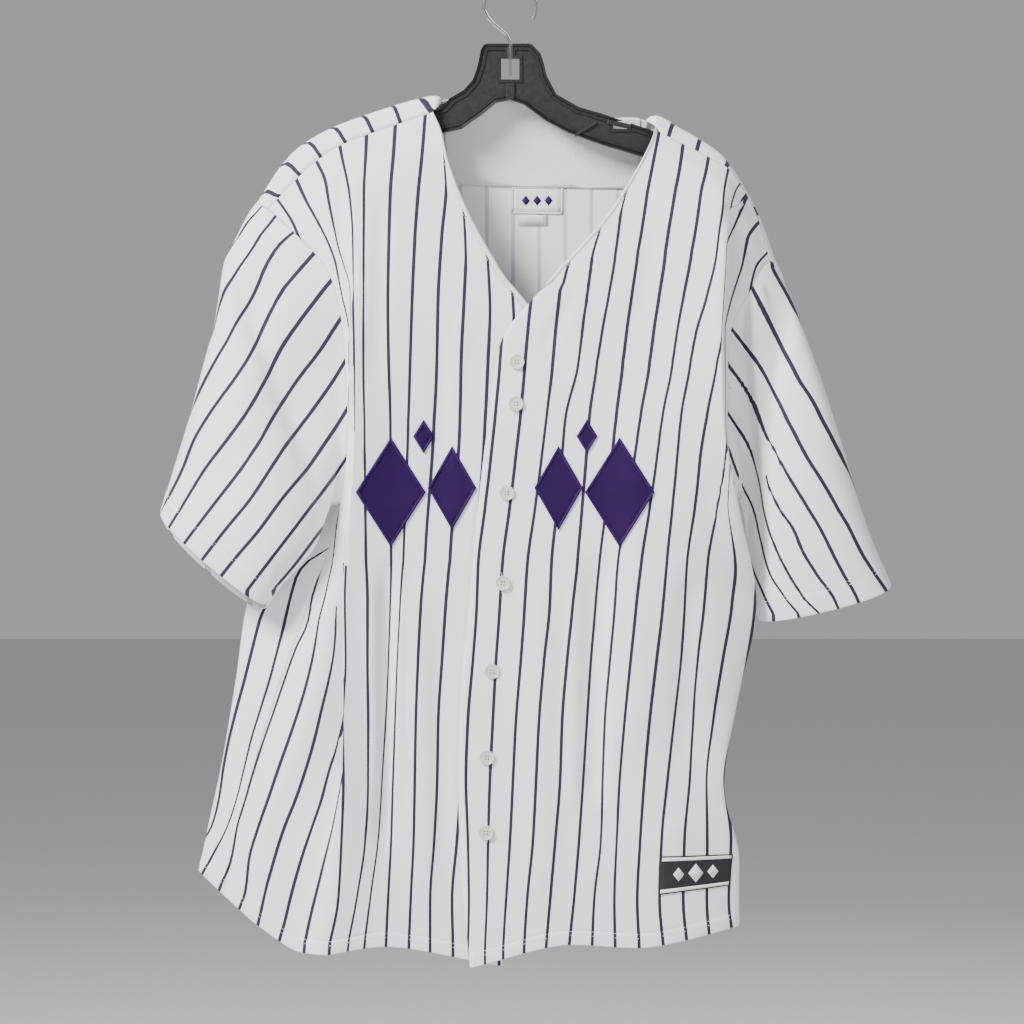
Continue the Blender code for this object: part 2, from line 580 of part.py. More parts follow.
for item in list(bpy.data.objects):
    bpy.data.objects.remove(item, do_unlink=True)
build()
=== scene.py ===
"""Dress the baseball jersey on its hanger: cloth, stripes, sewing, buttons, badges and frame.

Sizes in the tables are millimetres from the inside top of the hook, as (across, out, up).
"""
from __future__ import annotations

import json
import logging
import math
from dataclasses import dataclass, field
from enum import Enum

import bmesh
import bpy
import numpy as np
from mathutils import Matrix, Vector
from mathutils.bvhtree import BVHTree

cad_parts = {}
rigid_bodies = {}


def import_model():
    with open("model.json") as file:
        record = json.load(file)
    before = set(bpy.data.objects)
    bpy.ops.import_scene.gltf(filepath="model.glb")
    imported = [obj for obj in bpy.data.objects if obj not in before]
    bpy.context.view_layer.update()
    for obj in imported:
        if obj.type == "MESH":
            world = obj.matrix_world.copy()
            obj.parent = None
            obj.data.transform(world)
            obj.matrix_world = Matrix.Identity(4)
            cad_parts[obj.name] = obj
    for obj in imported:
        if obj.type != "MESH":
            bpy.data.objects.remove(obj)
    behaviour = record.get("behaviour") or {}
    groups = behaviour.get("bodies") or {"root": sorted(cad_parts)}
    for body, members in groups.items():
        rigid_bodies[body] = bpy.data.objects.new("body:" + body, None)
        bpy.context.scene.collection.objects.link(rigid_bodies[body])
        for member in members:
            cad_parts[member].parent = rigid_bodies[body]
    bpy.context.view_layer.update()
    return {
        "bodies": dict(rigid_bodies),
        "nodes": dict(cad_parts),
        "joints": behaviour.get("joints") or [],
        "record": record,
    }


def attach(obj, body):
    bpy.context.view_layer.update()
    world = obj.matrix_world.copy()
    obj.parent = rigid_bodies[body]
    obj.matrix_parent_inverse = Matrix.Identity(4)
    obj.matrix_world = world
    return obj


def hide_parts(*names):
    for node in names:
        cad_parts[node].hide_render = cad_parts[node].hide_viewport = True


MM = 0.001
PITCH = 25.4
# Millimetres a pixel, the picture's column at the hook and how many rows above it the hook rests
PIXEL = 0.95
PICTURE_MIDDLE = 510.0
PICTURE_TOP = 23.5
CLOTH = 1.1
SEAM_GAP = 0.3
BINDING = 4.6
LIFT = 0.35
FINE = 4

# Grid steps between sections from hem to shoulder seam, and between the guide lines
ROW_STEPS = (2, 3, 3, 3, 3, 3, 3, 2, 2, 2, 1, 1)
RIGHT_STEPS = (5, 4, 2, 2, 3)
LEFT_STEPS = (5, 3, 3, 2, 2)
BACK_STEPS = (4, 5, 7, 2, 2, 2, 2, 6, 5, 4)
SLEEVE_STEPS = (1, 2, 2, 2, 2, 2, 2)
ARMPIT = sum(ROW_STEPS[:5])

# Sections of the right front, with its guide lines
RIGHT_NEAR_EDGE = (
    # edge              stripe             fold
    ((-7, -40, -940),  (-118, -44, -921), (-175, -52, -928)),  # hem
    ((-7, -40, -841),  (-114, -46, -839), (-161, -58, -841)),  # tail
    ((-5, -40, -763),  (-111, -46, -763), (-158, -62, -763)),  # hip
    ((0, -40, -683),   (-108, -46, -683), (-157, -62, -684)),  # waist
    ((8, -40, -597),   (-104, -45, -597), (-158, -60, -599)),  # ribs
    ((13, -40, -512),  (-101, -45, -512), (-152, -58, -512)),  # armpit
    ((19, -38, -426),  (-97, -44, -422),  (-147, -57, -423)),  # chest
    ((26, -33, -336),  (-94, -42, -342),  (-148, -54, -345)),  # breast
    ((-10, -31, -277), (-92, -38, -281),  (-148, -46, -281)),  # collar
    ((-42, -26, -218), (-88, -29, -209),  (-152, -34, -212)),  # neck
    ((-60, -21, -170), (-85, -21, -165),  (-156, -24, -182)),  # throat
    ((-66, -17, -144), (-83, -16, -145),  (-160, -18, -170)),  # ridge
    ((-74, -13, -126), (-82, -12, -129),  (-162, -14, -158)),  # seam
)
RIGHT_NEAR_SIDE = (
    # valley             ridge              side
    ((-198, -40, -927), (-239, -30, -903), (-274, -18, -874)),  # hem
    ((-182, -38, -841), (-235, -34, -836), (-264, -20, -830)),  # tail
    ((-159, -24, -764), (-211, -36, -761), (-246, -22, -759)),  # hip
    ((-150, -14, -687), (-186, -34, -684), (-222, -22, -680)),  # waist
    ((-146, -8, -604),  (-170, -26, -600), (-192, -18, -597)),  # ribs
    ((-146, -12, -511), (-154, -6, -505),  (-163, 0, -501)),  # armpit
    ((-146, -30, -425), (-150, -20, -427), (-155, -12, -429)),  # chest
    ((-149, -34, -347), (-153, -24, -348), (-158, -18, -350)),  # breast
    ((-156, -36, -285), (-163, -30, -286), (-171, -26, -284)),  # collar
    ((-171, -31, -224), (-188, -27, -237), (-201, -24, -247)),  # neck
    ((-178, -22, -195), (-197, -20, -212), (-217, -17, -232)),  # throat
    ((-181, -18, -184), (-201, -16, -202), (-223, -13, -226)),  # ridge
    ((-185, -14, -173), (-205, -13, -191), (-232, -9, -219)),  # seam
)
# Sections of the left front, which laps on top
LEFT_NEAR_EDGE = (
    # edge              stripe            plane
    ((-38, -46, -941), (58, -46, -919),  (123, -46, -922)),  # hem
    ((-47, -46, -841), (63, -47, -839),  (122, -48, -839)),  # tail
    ((-49, -46, -763), (69, -47, -763),  (127, -50, -763)),  # hip
    ((-47, -46, -684), (75, -47, -683),  (135, -52, -683)),  # waist
    ((-39, -46, -598), (82, -46, -597),  (144, -52, -597)),  # ribs
    ((-31, -46, -509), (91, -46, -507),  (154, -52, -505)),  # armpit
    ((-21, -44, -425), (101, -44, -422), (162, -50, -422)),  # chest
    ((-10, -40, -351), (110, -40, -347), (176, -47, -346)),  # breast
    ((34, -36, -292),  (119, -37, -286), (189, -43, -286)),  # collar
    ((97, -28, -220),  (128, -29, -220), (200, -38, -220)),  # neck
    ((129, -20, -167), (139, -19, -167), (206, -26, -197)),  # throat
    ((136, -16, -152), (141, -15, -154), (209, -17, -189)),  # ridge
    ((140, -11, -140), (142, -11, -144), (212, -10, -182)),  # seam
)
LEFT_NEAR_SIDE = (
    # fold              valley            side
    ((218, -22, -903), (217, -6, -906),  (210, 8, -908)),  # hem
    ((218, -30, -841), (214, -8, -841),  (206, 8, -841)),  # tail
    ((203, -40, -768), (197, -14, -766), (189, 6, -763)),  # hip
    ((218, -22, -683), (213, -6, -681),  (205, 8, -680)),  # waist
    ((235, -20, -597), (228, -7, -595),  (221, 5, -594)),  # ribs
    ((218, -40, -509), (217, -22, -505), (212, -2, -497)),  # armpit
    ((202, -52, -422), (206, -30, -425), (208, -11, -426)),  # chest
    ((200, -50, -346), (206, -34, -350), (208, -19, -350)),  # breast
    ((202, -46, -286), (215, -32, -293), (230, -20, -296)),  # collar
    ((206, -36, -227), (220, -26, -250), (236, -15, -285)),  # neck
    ((216, -24, -212), (230, -18, -239), (241, -12, -277)),  # throat
    ((219, -17, -205), (234, -13, -234), (245, -9, -272)),  # ridge
    ((223, -9, -198),  (238, -8, -229),  (249, -6, -268)),  # seam
)
# Sections of the back
BACK_RIGHT_HALF = (
    # side_right         turn_right         blade_right        point_right       nape_right
    ((-274, -18, -874), (-298, -2, -853),  (-242, 32, -873),  (-104, 42, -911), (-86, 42, -912)),  # hem
    ((-264, -20, -830), (-289, -2, -809),  (-236, 36, -825),  (-100, 44, -839), (-81, 44, -840)),  # tail
    ((-246, -22, -759), (-276, -2, -749),  (-223, 38, -759),  (-95, 44, -763),  (-76, 44, -763)),  # hip
    ((-222, -22, -680), (-263, 0, -671),   (-209, 38, -678),  (-90, 44, -683),  (-72, 44, -683)),  # waist
    ((-192, -18, -597), (-251, 4, -592),   (-190, 38, -592),  (-86, 44, -592),  (-67, 44, -592)),  # ribs
    ((-163, 0, -501),   (-166, 20, -500),  (-152, 38, -500),  (-81, 44, -500),  (-64, 44, -500)),  # armpit
    ((-164, 18, -429),  (-163, 30, -426),  (-150, 40, -426),  (-78, 44, -421),  (-62, 44, -421)),  # chest
    ((-179, 26, -350),  (-173, 36, -345),  (-150, 40, -345),  (-76, 42, -341),  (-61, 42, -341)),  # breast
    ((-209, 24, -260),  (-196, 34, -271),  (-150, 37, -250),  (-74, 38, -241),  (-60, 38, -246)),  # collar
    ((-230, 16, -233),  (-209, 24, -217),  (-150, 24, -174),  (-73, 27, -165),  (-60, 29, -174)),  # neck
    ((-241, 8, -218),   (-215, 11, -186),  (-150, 9, -138),   (-71, 13, -121),  (-60, 21, -138)),  # throat
    ((-243, 0, -212),   (-218, -1, -173),  (-150, -4, -133),  (-70, -3, -110),  (-60, 16, -120)),  # ridge
    ((-232, -9, -219),  (-211, -13, -196), (-150, -14, -154), (-74, -13, -126), (-61, 13, -111)),  # seam
)
BACK_LEFT_HALF = (
    # the same sections, from the hem up
    # centre           nape_left        point_left        blade_left        turn_left        side_left
    ((-10, 44, -915), (84, 42, -912), (104, 42, -911), (171, 34, -901), (198, 24, -901), (210, 8, -908)),
    ((-7, 46, -844), (86, 44, -840), (104, 44, -839), (171, 36, -835), (194, 24, -837), (206, 8, -841)),
    ((-4, 46, -763), (88, 44, -763), (106, 44, -763), (167, 36, -759), (179, 24, -763), (189, 6, -763)),
    ((-1, 46, -683), (91, 44, -683), (109, 44, -683), (175, 36, -678), (193, 24, -680), (205, 8, -680)),
    ((3, 46, -592), (95, 44, -592), (112, 44, -592), (186, 36, -592), (206, 22, -594), (221, 5, -594)),
    ((7, 46, -500), (99, 44, -500), (116, 44, -500), (179, 38, -500), (200, 22, -500), (212, -2, -497)),
    ((10, 46, -421), (104, 44, -421), (121, 44, -421), (179, 40, -426), (198, 32, -426), (218, 17, -426)),
    ((13, 44, -341), (108, 42, -341), (125, 42, -341), (182, 40, -345), (209, 34, -350), (228, 24, -357)),
    ((16, 41, -260), (114, 38, -250), (130, 38, -250), (185, 37, -260), (220, 30, -293), (241, 22, -313)),
    ((19, 36, -191), (120, 29, -184), (133, 27, -179), (186, 26, -198), (226, 22, -246), (247, 16, -293)),
    ((21, 28, -151), (124, 21, -151), (136, 13, -138), (185, 11, -161), (228, 12, -217), (254, 9, -280)),
    ((23, 21, -125), (124, 16, -134), (138, -3, -129), (182, -2, -152), (228, 1, -204), (256, 2, -271)),
    ((24, 15, -110), (125, 13, -128), (140, -11, -140), (186, -11, -170), (229, -9, -212), (249, -6, -268)),
)
# Rings of the sleeves: top, under, depth ahead and behind, and how far each middle hangs
RIGHT_SLEEVE = (
    ((-263, 0, -257), (-175, -12, -509), 20, 14, 0, 0),
    ((-274, 0, -302), (-180, -19, -526), 32, 16, 0, 0),
    ((-289, 0, -350), (-188, -22, -544), 40, 16, 0, 0),
    ((-306, 0, -414), (-201, -26, -560), 42, 14, 0, 0),
    ((-323, 0, -469), (-217, -28, -577), 38, 14, 5, 8),
    ((-335, 0, -508), (-232, -28, -593), 30, 14, 11, 21),
)
LEFT_SLEEVE = (
    ((268, 0, -300), (224, 2, -507), 14, 22, 0, 0),
    ((281, 0, -334), (227, 8, -524), 24, 22, 0, 0),
    ((298, 0, -381), (227, 11, -545), 32, 20, 0, 0),
    ((316, 0, -437), (232, 12, -567), 36, 20, 0, 0),
    ((340, 0, -516), (235, 12, -590), 34, 20, 4, 2),
    ((365, 0, -578), (239, 10, -609), 28, 18, 10, 4),
)
# Soft folds: top (across, up), bottom (across, up), half width, depth (negative stands proud)
RIGHT_FOLDS = (
    ((-116, -545), (-118, -850), 9.0, 7.0),
    ((-88, -560), (-82, -900), 12.0, -3.0),
)
LEFT_FOLDS = (
    ((84, -540), (78, -800), 13.0, 6.0),
    ((170, -560), (166, -760), 14.0, 6.0),
    ((120, -380), (112, -760), 18.0, -4.0),
    ((30, -560), (28, -900), 16.0, -3.0),
)
# Small creases that only the dressed cloth has, in the same columns
RIGHT_CREASES = (
    ((-158, -466), (-161, -568), 5.0, 4.5),
    ((-165, -178), (-154, -300), 7.0, 5.0),
    ((-131, -560), (-126, -800), 5.0, -2.2),
    ((-104, -540), (-110, -820), 4.5, -1.8),
    ((-62, -360), (-70, -520), 12.0, 1.6),
    ((-40, -300), (-58, -420), 7.0, -1.2),
    ((-120, -200), (-128, -400), 9.0, 1.5),
    ((-70, -620), (-60, -860), 9.0, 1.4),
    ((-36, -600), (-30, -880), 7.0, -1.2),
)
LEFT_CREASES = (
    ((2, -369), (22, -386), 3.0, 1.0),
    ((0, -360), (-8, -350), 3.0, -0.8),
    ((6, -409), (28, -424), 3.0, 0.9),
    ((-4, -578), (16, -590), 3.0, 0.9),
    ((-16, -662), (4, -676), 3.0, 0.9),
    ((-20, -744), (-2, -760), 3.0, 0.9),
    ((-21, -815), (-2, -830), 3.0, 0.9),
    ((60, -300), (30, -360), 5.0, 1.4),
    ((140, -240), (120, -330), 8.0, 1.6),
    ((100, -560), (96, -780), 6.0, -2.0),
    ((62, -560), (60, -800), 6.0, -2.0),
    ((185, -480), (200, -560), 8.0, 2.0),
    ((150, -800), (176, -858), 16.0, -3.0),
)
SLEEVE_CREASES = {
    "right": (
        ((-228, -250), (-246, -330), 12.0, 2.2),
        ((-205, -300), (-262, -420), 15.0, -1.6),
        ((-178, -330), (-214, -440), 14.0, 1.8),
        ((-238, -430), (-292, -510), 12.0, 1.5),
        ((-168, -430), (-196, -520), 12.0, -1.5),
        ((-176, -540), (-226, -575), 8.0, 1.8),
    ),
    "left": (
        ((214, -350), (222, -460), 6.0, -3.5),
        ((256, -470), (270, -560), 10.0, 1.5),
        ((262, -560), (284, -596), 6.0, 1.8),
        ((240, -560), (252, -590), 5.0, 1.5),
    ),
}
Path = tuple[tuple[float, float], ...]
Rows = tuple[tuple[float, ...], ...]


@dataclass(frozen=True)
class Tracing:
    """Stripes followed in an enlarged crop of the picture.

    Attributes:
        corner: The crop's top left corner, in the picture's pixels.
        scale: How many of the crop's pixels make one of the picture's.
        paths: Each stripe's points in the crop, as (across, down).
        run: Slope past a path's ends, or None to go on as the end does.
    """

    corner: tuple[float, float]
    scale: float
    paths: tuple[Path, ...]
    run: float | None = None

    def cross(self, row: float) -> list[float]:
        """Find the columns where the stripes cross a row.

        Args:
            row: The row, in the picture's pixels.

        Returns:
            A column for each stripe, in the picture's pixels.
        """
        down = (row - self.corner[1]) * self.scale
        found = []
        for path in self.paths:
            across, depth = np.array(path, float).T
            near = min(max(down, depth[0]), depth[-1])
            if self.run is None:
                near = down
            at = min(max(int(np.searchsorted(depth, near)), 1), len(depth) - 1)
            slope = (across[at] - across[at - 1]) / (depth[at] - depth[at - 1])
            value = across[at] + slope * (near - depth[at])
            value += (self.run or 0.0) * (down - near)
            found.append(self.corner[0] + value / self.scale)
        return found


# Where the stripes cross the photograph's rows, in pixels: row, then one column a stripe
RIGHT_STRIPES = (
    # row, L0, L1, L2, L3, L4, L5, L6, L7, L8, L9, L10
    (110, 534, 503, 475, 449, 425, 395, 366, 334, 306, 280, 255),
    (150, 524, 497, 472, 447, 422, 393, 365, 340, 316, 291, 266),
    (190, 520, 494, 469, 446, 418, 390, 363, 349, 326, 302, 275),
    (230, 519, 493, 467, 442, 415, 389, 363, 353, 331, 314, 295),
    (300, 517, 491, 464, 438, 412, 388, 363, 354, 343, 330, 317),
    (360, 516, 488, 461, 437, 410, 389, 363, 355, 348, 341, 334),
    (420, 511, 485, 460, 434, 408, 391, 364, 355, 349, 343, 337),
    (560, 500, 476, 450, 425, 403, 392, 366, 347, 342, 337, 332),
    (600, 498, 472, 446, 421, 400, 391, 368, 345, 340, 335, 330),
    (660, 492, 467, 442, 418, 397, 389, 368, 346, 341, 336, 331),
    (720, 488, 463, 438, 416, 395, 386, 369, 343, 338, 333, 328),
    (780, 485, 461, 437, 415, 393, 382, 369, 344, 339, 334, 329),
    (840, 481, 457, 434, 414, 391, 378, 366, 342, 331, 309, 282),
    (900, 475, 452, 430, 411, 388, 370, 357, 339, 317, 291, 264),
    (945, 476, 453, 430, 409, 386, 364, 348, 330, 303, 279, 254),
)
LEFT_STRIPES = (
    # row, R0, R1, R2, R3, R4, R5, R6, R7, R8, R9, R10, R11, R12
    (130, 532, 558, 584, 608, 634, 660, 686, 714, 740, 766, 792, 818, 844),
    (150, 528, 554, 580, 604, 630, 656, 683, 711, 735, 760, 786, 812, 838),
    (170, 522, 550, 574, 600, 627, 652, 680, 707, 729, 750, 770, 790, 812),
    (190, 518, 545, 570, 597, 624, 648, 676, 702, 725, 736, 752, 775, 800),
    (210, 516, 542.5, 568.5, 596.5, 621.5, 645, 672.5, 699, 723, 730, 745, 764, 786),
    (233, 513.7, 539.7, 566.7, 595.5, 618.5, 641.4, 668.5, 695.5, 719.5, 727, 735, 752, 776),
    (250, 512, 538, 565, 593, 616, 638, 666, 692, 717.5, 727, 732, 746, 768),
    (300, 505, 531, 559, 587, 608, 631, 659, 683, 706, 726, 729, 733, 750),
    (340, 501.7, 527, 555, 581.7, 600.7, 625.7, 653, 676.3, 694, 722, 728, 731, 740),
    (360, 500, 525, 553, 579, 597, 623, 650, 673, 690, 717.5, 727, 730, 736),
    (420, 495, 520, 547, 565, 589, 616, 640, 662, 680, 706, 728, 731, 735),
    (453, 491.3, 516, 542.6, 561.9, 586.4, 612.3, 634.9, 657.2, 676.9, 700, 726, 730, 734),
    (500, 485.9, 510.4, 536.3, 557.5, 582.6, 606.9, 627.7, 650.3, 672.5, 695, 719, 728, 733),
    (570, 478, 502, 527, 551, 577, 599, 617, 640, 666, 686, 706, 736, 757),
    (600, 477, 500, 525, 550, 573, 596, 615, 636, 663, 685, 703, 733, 756),
    (660, 473, 496, 521, 544, 567, 591, 610, 630, 656, 681, 696, 723, 748),
    (720, 468, 493, 516, 539, 562, 587, 605, 624, 649, 674, 693, 713, 736),
    (780, 466, 490, 513, 536, 560, 583, 603, 619, 644, 667, 690, 706, 724),
    (840, 468, 488, 510, 533, 555, 579, 601, 616, 640, 661, 684, 707, 731),
    (900, 469, 487, 506, 527, 550, 574, 594, 614, 637, 659, 683, 707, 729),
    (945, 468, 485, 503, 524, 546, 569, 592, 615, 639, 663, 687, 710, 734),
)
# The right sleeve's stripes, from its outer edge inward
RIGHT_SLEEVE_TRACING = Tracing((150, 180), 3.4826, (
    ((350, 82), (325, 140), (300, 210), (283, 260)),
    ((420, 122), (400, 165), (375, 220), (340, 275), (300, 335), (262, 400), (235, 450),
     (215, 510), (200, 560)),
    ((495, 183), (455, 215), (425, 260), (400, 315), (375, 385), (340, 445), (300, 505),
     (265, 560), (230, 615), (200, 670), (170, 730), (134, 801), (70, 906), (-7, 1010),
     (-74, 1114)),
    ((560, 262), (525, 305), (480, 360), (445, 405), (420, 460), (395, 520), (355, 600),
     (315, 665), (265, 735), (215, 800), (175, 860), (150, 905), (110, 1010), (54, 1114),
     (-23, 1219), (-109, 1323), (-195, 1428)),
    ((632, 340), (590, 395), (545, 455), (500, 515), (455, 580), (420, 650), (395, 710),
     (365, 770), (325, 835), (275, 900), (225, 965), (185, 1015), (150, 1060), (125, 1110),
     (100, 1160), (75, 1200), (55, 1220)),
    ((672, 458), (640, 515), (590, 590), (545, 650), (500, 705), (460, 765), (425, 830),
     (395, 895), (355, 960), (310, 1025), (265, 1080), (225, 1130), (180, 1185), (140, 1240),
     (110, 1280)),
    ((692, 600), (655, 665), (605, 740), (555, 810), (505, 875), (460, 940), (425, 1000),
     (385, 1065), (345, 1125), (300, 1180), (250, 1235), (210, 1285), (175, 1333)),
    ((708, 735), (685, 790), (640, 865), (595, 930), (550, 1000), (500, 1065), (455, 1120),
     (420, 1170), (380, 1225), (330, 1280), (285, 1335), (242, 1390)),
    ((710, 920), (670, 980), (620, 1050), (570, 1125), (520, 1195), (470, 1260), (425, 1320),
     (385, 1375), (350, 1415), (328, 1453)),
    ((698, 1075), (660, 1125), (620, 1180), (580, 1235), (540, 1290), (500, 1345), (455, 1395)),
), run=-0.82)
RIGHT_SLEEVE_ROWS = (180, 205, 225, 245, 265, *range(290, 591, 30))
# The left sleeve's stripes: row, then the columns from the outer edge inward
LEFT_SLEEVE_STRIPES = (
    (265, 775, 741, 707, 673, 639, 605, 571, 537),
    (290, 788, 755, 724, 692, 660, 628, 596, 564),
    (310, 798.5, 766, 718, 700, 680, 658, 636, 614),
    (330, 812, 775.7, 733.7, 706, 682, 660, 638, 616),
    (350, 822, 785.7, 751, 720.3, 704, 688, 666, 644),
    (365, 829.5, 793.4, 761, 730, 714, 698, 676, 654),
    (381, 838, 801, 770, 743.6, 728, 712, 690, 668),
    (395, 845, 810.5, 777, 753.5, 735, 717, 700, 680),
    (406, 851, 817, 782.5, 758.5, 741, 723.5, 705, 686),
    (420, 858, 823.5, 788.5, 762.6, 748, 734.2, 713, 692),
    (433, 864, 831, 795.5, 767, 757, 743.6, 722, 700),
    (450, 872, 840, 804, 775.2, 766.5, 753.8, 731, 710),
    (480, 886, 857, 822, 791.5, 768, 762.3, 742.3, 722),
    (510, 900, 873, 839, 809.5, 780.3, 765.8, 757, 736),
    (532, 911, 885, 852, 822.5, 795.8, 770.4, 761.5, 745),
    (545, 917, 892, 859, 829.9, 801, 775.5, 764.5, 749),
    (575, 932, 909, 876.8, 844.6, 818, 789.7, 772, 757.7),
    (600, 946, 921, 893, 858.3, 836, 805.6, 788, 768),
    (615, 953, 928, 900, 864, 842, 822, 801, 776),
)
# The left sleeve's stripe that slips into its fold, and the rows where it is squeezed thin
HIDING_STRIPE = 4
SQUEEZED_ROWS = (330, 433)
SQUEEZE = 0.5
EASE = 0.6


def beside_hidden(table: Rows) -> Rows:
    """Add a crossing on each side of the stripe that slips into the fold.

    Args:
        table: Row and crossings, from the outer edge inward.

    Returns:
        The table with the two crossings in each row.
    """
    made = []
    for row, *stripes in table:
        outer, hiding, inner = stripes[HIDING_STRIPE - 1:HIDING_STRIPE + 2]
        gaps = (EASE * (outer - hiding), EASE * (hiding - inner))
        if SQUEEZED_ROWS[0] <= row <= SQUEEZED_ROWS[1]:
            gaps = (SQUEEZE, SQUEEZE)
        made.append((row, *stripes[:HIDING_STRIPE], hiding + gaps[0], hiding, hiding - gaps[1],
                     *stripes[HIDING_STRIPE + 1:]))
    return tuple(made)


SLEEVE_STRIPES = {
    "right": tuple((row, *RIGHT_SLEEVE_TRACING.cross(row)) for row in RIGHT_SLEEVE_ROWS),
    "left": beside_hidden(LEFT_SLEEVE_STRIPES),
}
# Which stripe each of those crossings is; two beside stripe 4 let it hide in the fold
SLEEVE_NUMBERS = {
    "right": (0, 1, 2, 3, 4, 5, 6, 7, 8, 9),
    "left": (0, 1, 2, 3, 3.4, 4, 4.6, 5, 6, 7),
}
# Paths in the picture where a fold hides a stripe: points (across, row), then the half width
BLANKS = {
    "front_right_cloth": (((342, 500), (339.5, 530), (337, 560), (337, 580), (336, 607), 2.2),
                          ((351, 436), (348, 480), (346, 560), 7.0),
                          ((351.5, 550), (351.5, 705), 3.2)),
    "back_cloth": (((342, 500), (330, 518), (318, 540), 10.0),),
    "front_left_cloth": (((732, 209), (739, 206), (743, 202), 2.0),
                         ((736, 490), (742, 530), 7.0)),
    "sleeve_left_cloth": (((736, 387), (741, 406), (748, 420), (757, 433), (763, 444),
                           (767, 470), 5.0),),
}
# The stripes of the cloth that turns away beyond each front's long fold, from the fold outward
RIGHT_RECESS_TOP = Tracing((230, 90), 7.46, (
    ((815, 395), (870, 620), (905, 850), (920, 1000), (925, 1100), (930, 1280)),
    ((635, 515), (690, 600), (715, 700), (740, 870), (768, 1000), (800, 1150), (880, 1400)),
    ((485, 650), (560, 810), (640, 950), (710, 1080), (770, 1200), (800, 1320), (820, 1440),
     (832, 1530)),
    ((340, 800), (400, 880), (450, 960), (490, 1040), (520, 1120), (545, 1165)),
))
LEFT_RECESS_TOP = Tracing((640, 90), 7.469, (
    ((690, 585), (640, 650), (620, 700), (612, 750), (606, 850), (602, 980), (600, 1300)),
    ((812, 760), (780, 840), (700, 1020), (630, 1150), (605, 1250), (603, 1300), (602, 1500)),
    ((900, 965), (850, 1020), (815, 1070), (795, 1120), (790, 1200), (770, 1300), (730, 1410),
     (680, 1550), (640, 1700), (620, 1800)),
    ((985, 1180), (920, 1240), (870, 1310), (845, 1380), (835, 1460), (825, 1520), (800, 1640),
     (770, 1750), (740, 1900)),
))
RIGHT_RECESS_DOWN = (75, 149, 224, 299, 411, 523, 634, 746, 858, 970, 1082, 1194, 1306, 1418, 1511)
RIGHT_RECESS_ACROSS = (
    (632, 632, 632, 632, 632, 631, 630, 628, 626, 610, 605, 602, 600, 583, 550),
    (628, 628, 628, 629, 629, 628, 624, 618, 606, 590, 570, 542, 513, 485, 466),
    (603, 608, 614, 621, 622, 620, 613, 591, 559, 528, 490, 452, 420, 393, 366),
    (586, 586, 582, 580, 573, 553, 526, 500, 468, 430, 385, 350, 318, 294, 275),
    (567, 552, 536, 515, 499, 475, 443, 405, 365, 327, 288, 255, 244, 207, 180),
    (526, 511, 489, 478, 427, 386, 348, 308, 272, 239, 206, 188, 144, 105, 75),
    (440, 424, 404, 387, 361, 332, 298, 263, 236, 208, 169, 110, 52, 20, -10),
    (345, 335, 320, 290, 262, 234, 204, 176, 154, 138, 108, 30, -30, -60, -90),
)
RIGHT_RECESS_BELOW = Tracing((180, 540), 3.732, tuple(
    tuple(zip(across, RIGHT_RECESS_DOWN)) for across in RIGHT_RECESS_ACROSS))
RIGHT_RECESS_TOP_ROWS = (*range(120, 261, 20), 290)
RIGHT_RECESS_LOW_ROWS = (560, 580, 600, 620, *range(650, 921, 30), 945)
LEFT_RECESS_TOP_ROWS = (*range(165, 236, 10), 250, 265, 280, 300, 330)
# From this row down the left front's own stripes go on beyond its fold
LEFT_RECESS_SHARED_ROW = 600
FOLD_COLUMN = 353
# Closest that the four traced stripes lie, and how far apart those past them are guessed
CLOSEST = (2, 2, 3)
RIGHT_GUESS = (22, 44, 66, 88)
LEFT_GUESS = (24, 48)


def spread(crossings: list[float], outward: int, guess: tuple[int, ...]) -> list[float]:
    """Keep traced crossings apart and add guessed ones past the last.

    Args:
        crossings: The traced columns, from the fold outward.
        outward: 1 where columns grow outward, -1 where they fall.
        guess: Steps from the last traced column to each guessed one.

    Returns:
        The traced and guessed columns.
    """
    made = crossings[:1]
    for value, least in zip(crossings[1:], CLOSEST):
        made.append(outward * max(outward * value, outward * made[-1] + least))
    return made + [made[-1] + outward * step for step in guess]


def right_recess() -> Rows:
    """Put together the rows of stripes L7 to L14 beyond the right front's fold."""
    top = []
    for row in RIGHT_RECESS_TOP_ROWS:
        first, *others = RIGHT_RECESS_TOP.cross(row)
        top.append((row, *spread([min(first, FOLD_COLUMN), *others], -1, RIGHT_GUESS)))
    return (
        *top,
        (330, 353, 351, 349, 334, 312, 290, 268, 246),
        (420, 352, 350, 348, 340, 330, 322, 300, 270),
        (500, 350, 349, 346, 342, 338, 322, 299, 273),
        (530, 349.7, 348.7, 343, 339.5, 334.8, 321.5, 298.5, 272.7),
        *((row, *RIGHT_RECESS_BELOW.cross(row)) for row in RIGHT_RECESS_LOW_ROWS),
    )


def left_recess() -> Rows:
    """Put together the rows of stripes R8 to R13 beyond the left front's fold."""
    step = LEFT_GUESS[0]
    return (
        *((row, *spread(LEFT_RECESS_TOP.cross(row), 1, LEFT_GUESS)) for row in LEFT_RECESS_TOP_ROWS),
        (420, 680, 706, 726, 750, 774, 798),
        (570, 666, 686, 708, 736, 757, 781),
        *((row, *stripes[8:], stripes[-1] + step) for row, *stripes in LEFT_STRIPES
          if row >= LEFT_RECESS_SHARED_ROW),
    )


RIGHT_RECESS = right_recess()
LEFT_RECESS = left_recess()
# The back's stripes where it comes forward over the right shoulder: across, stripe number
RIDGE_STRIPES = ((418, 3), (391.5, 4), (360.7, 5), (329.2, 6), (301.7, 7), (278.9, 8), (260, 9))
SEAM_STRIPES = ((427, 3), (400, 4), (372.1, 5), (344.6, 6), (319.8, 7), (299, 8), (278.3, 9))
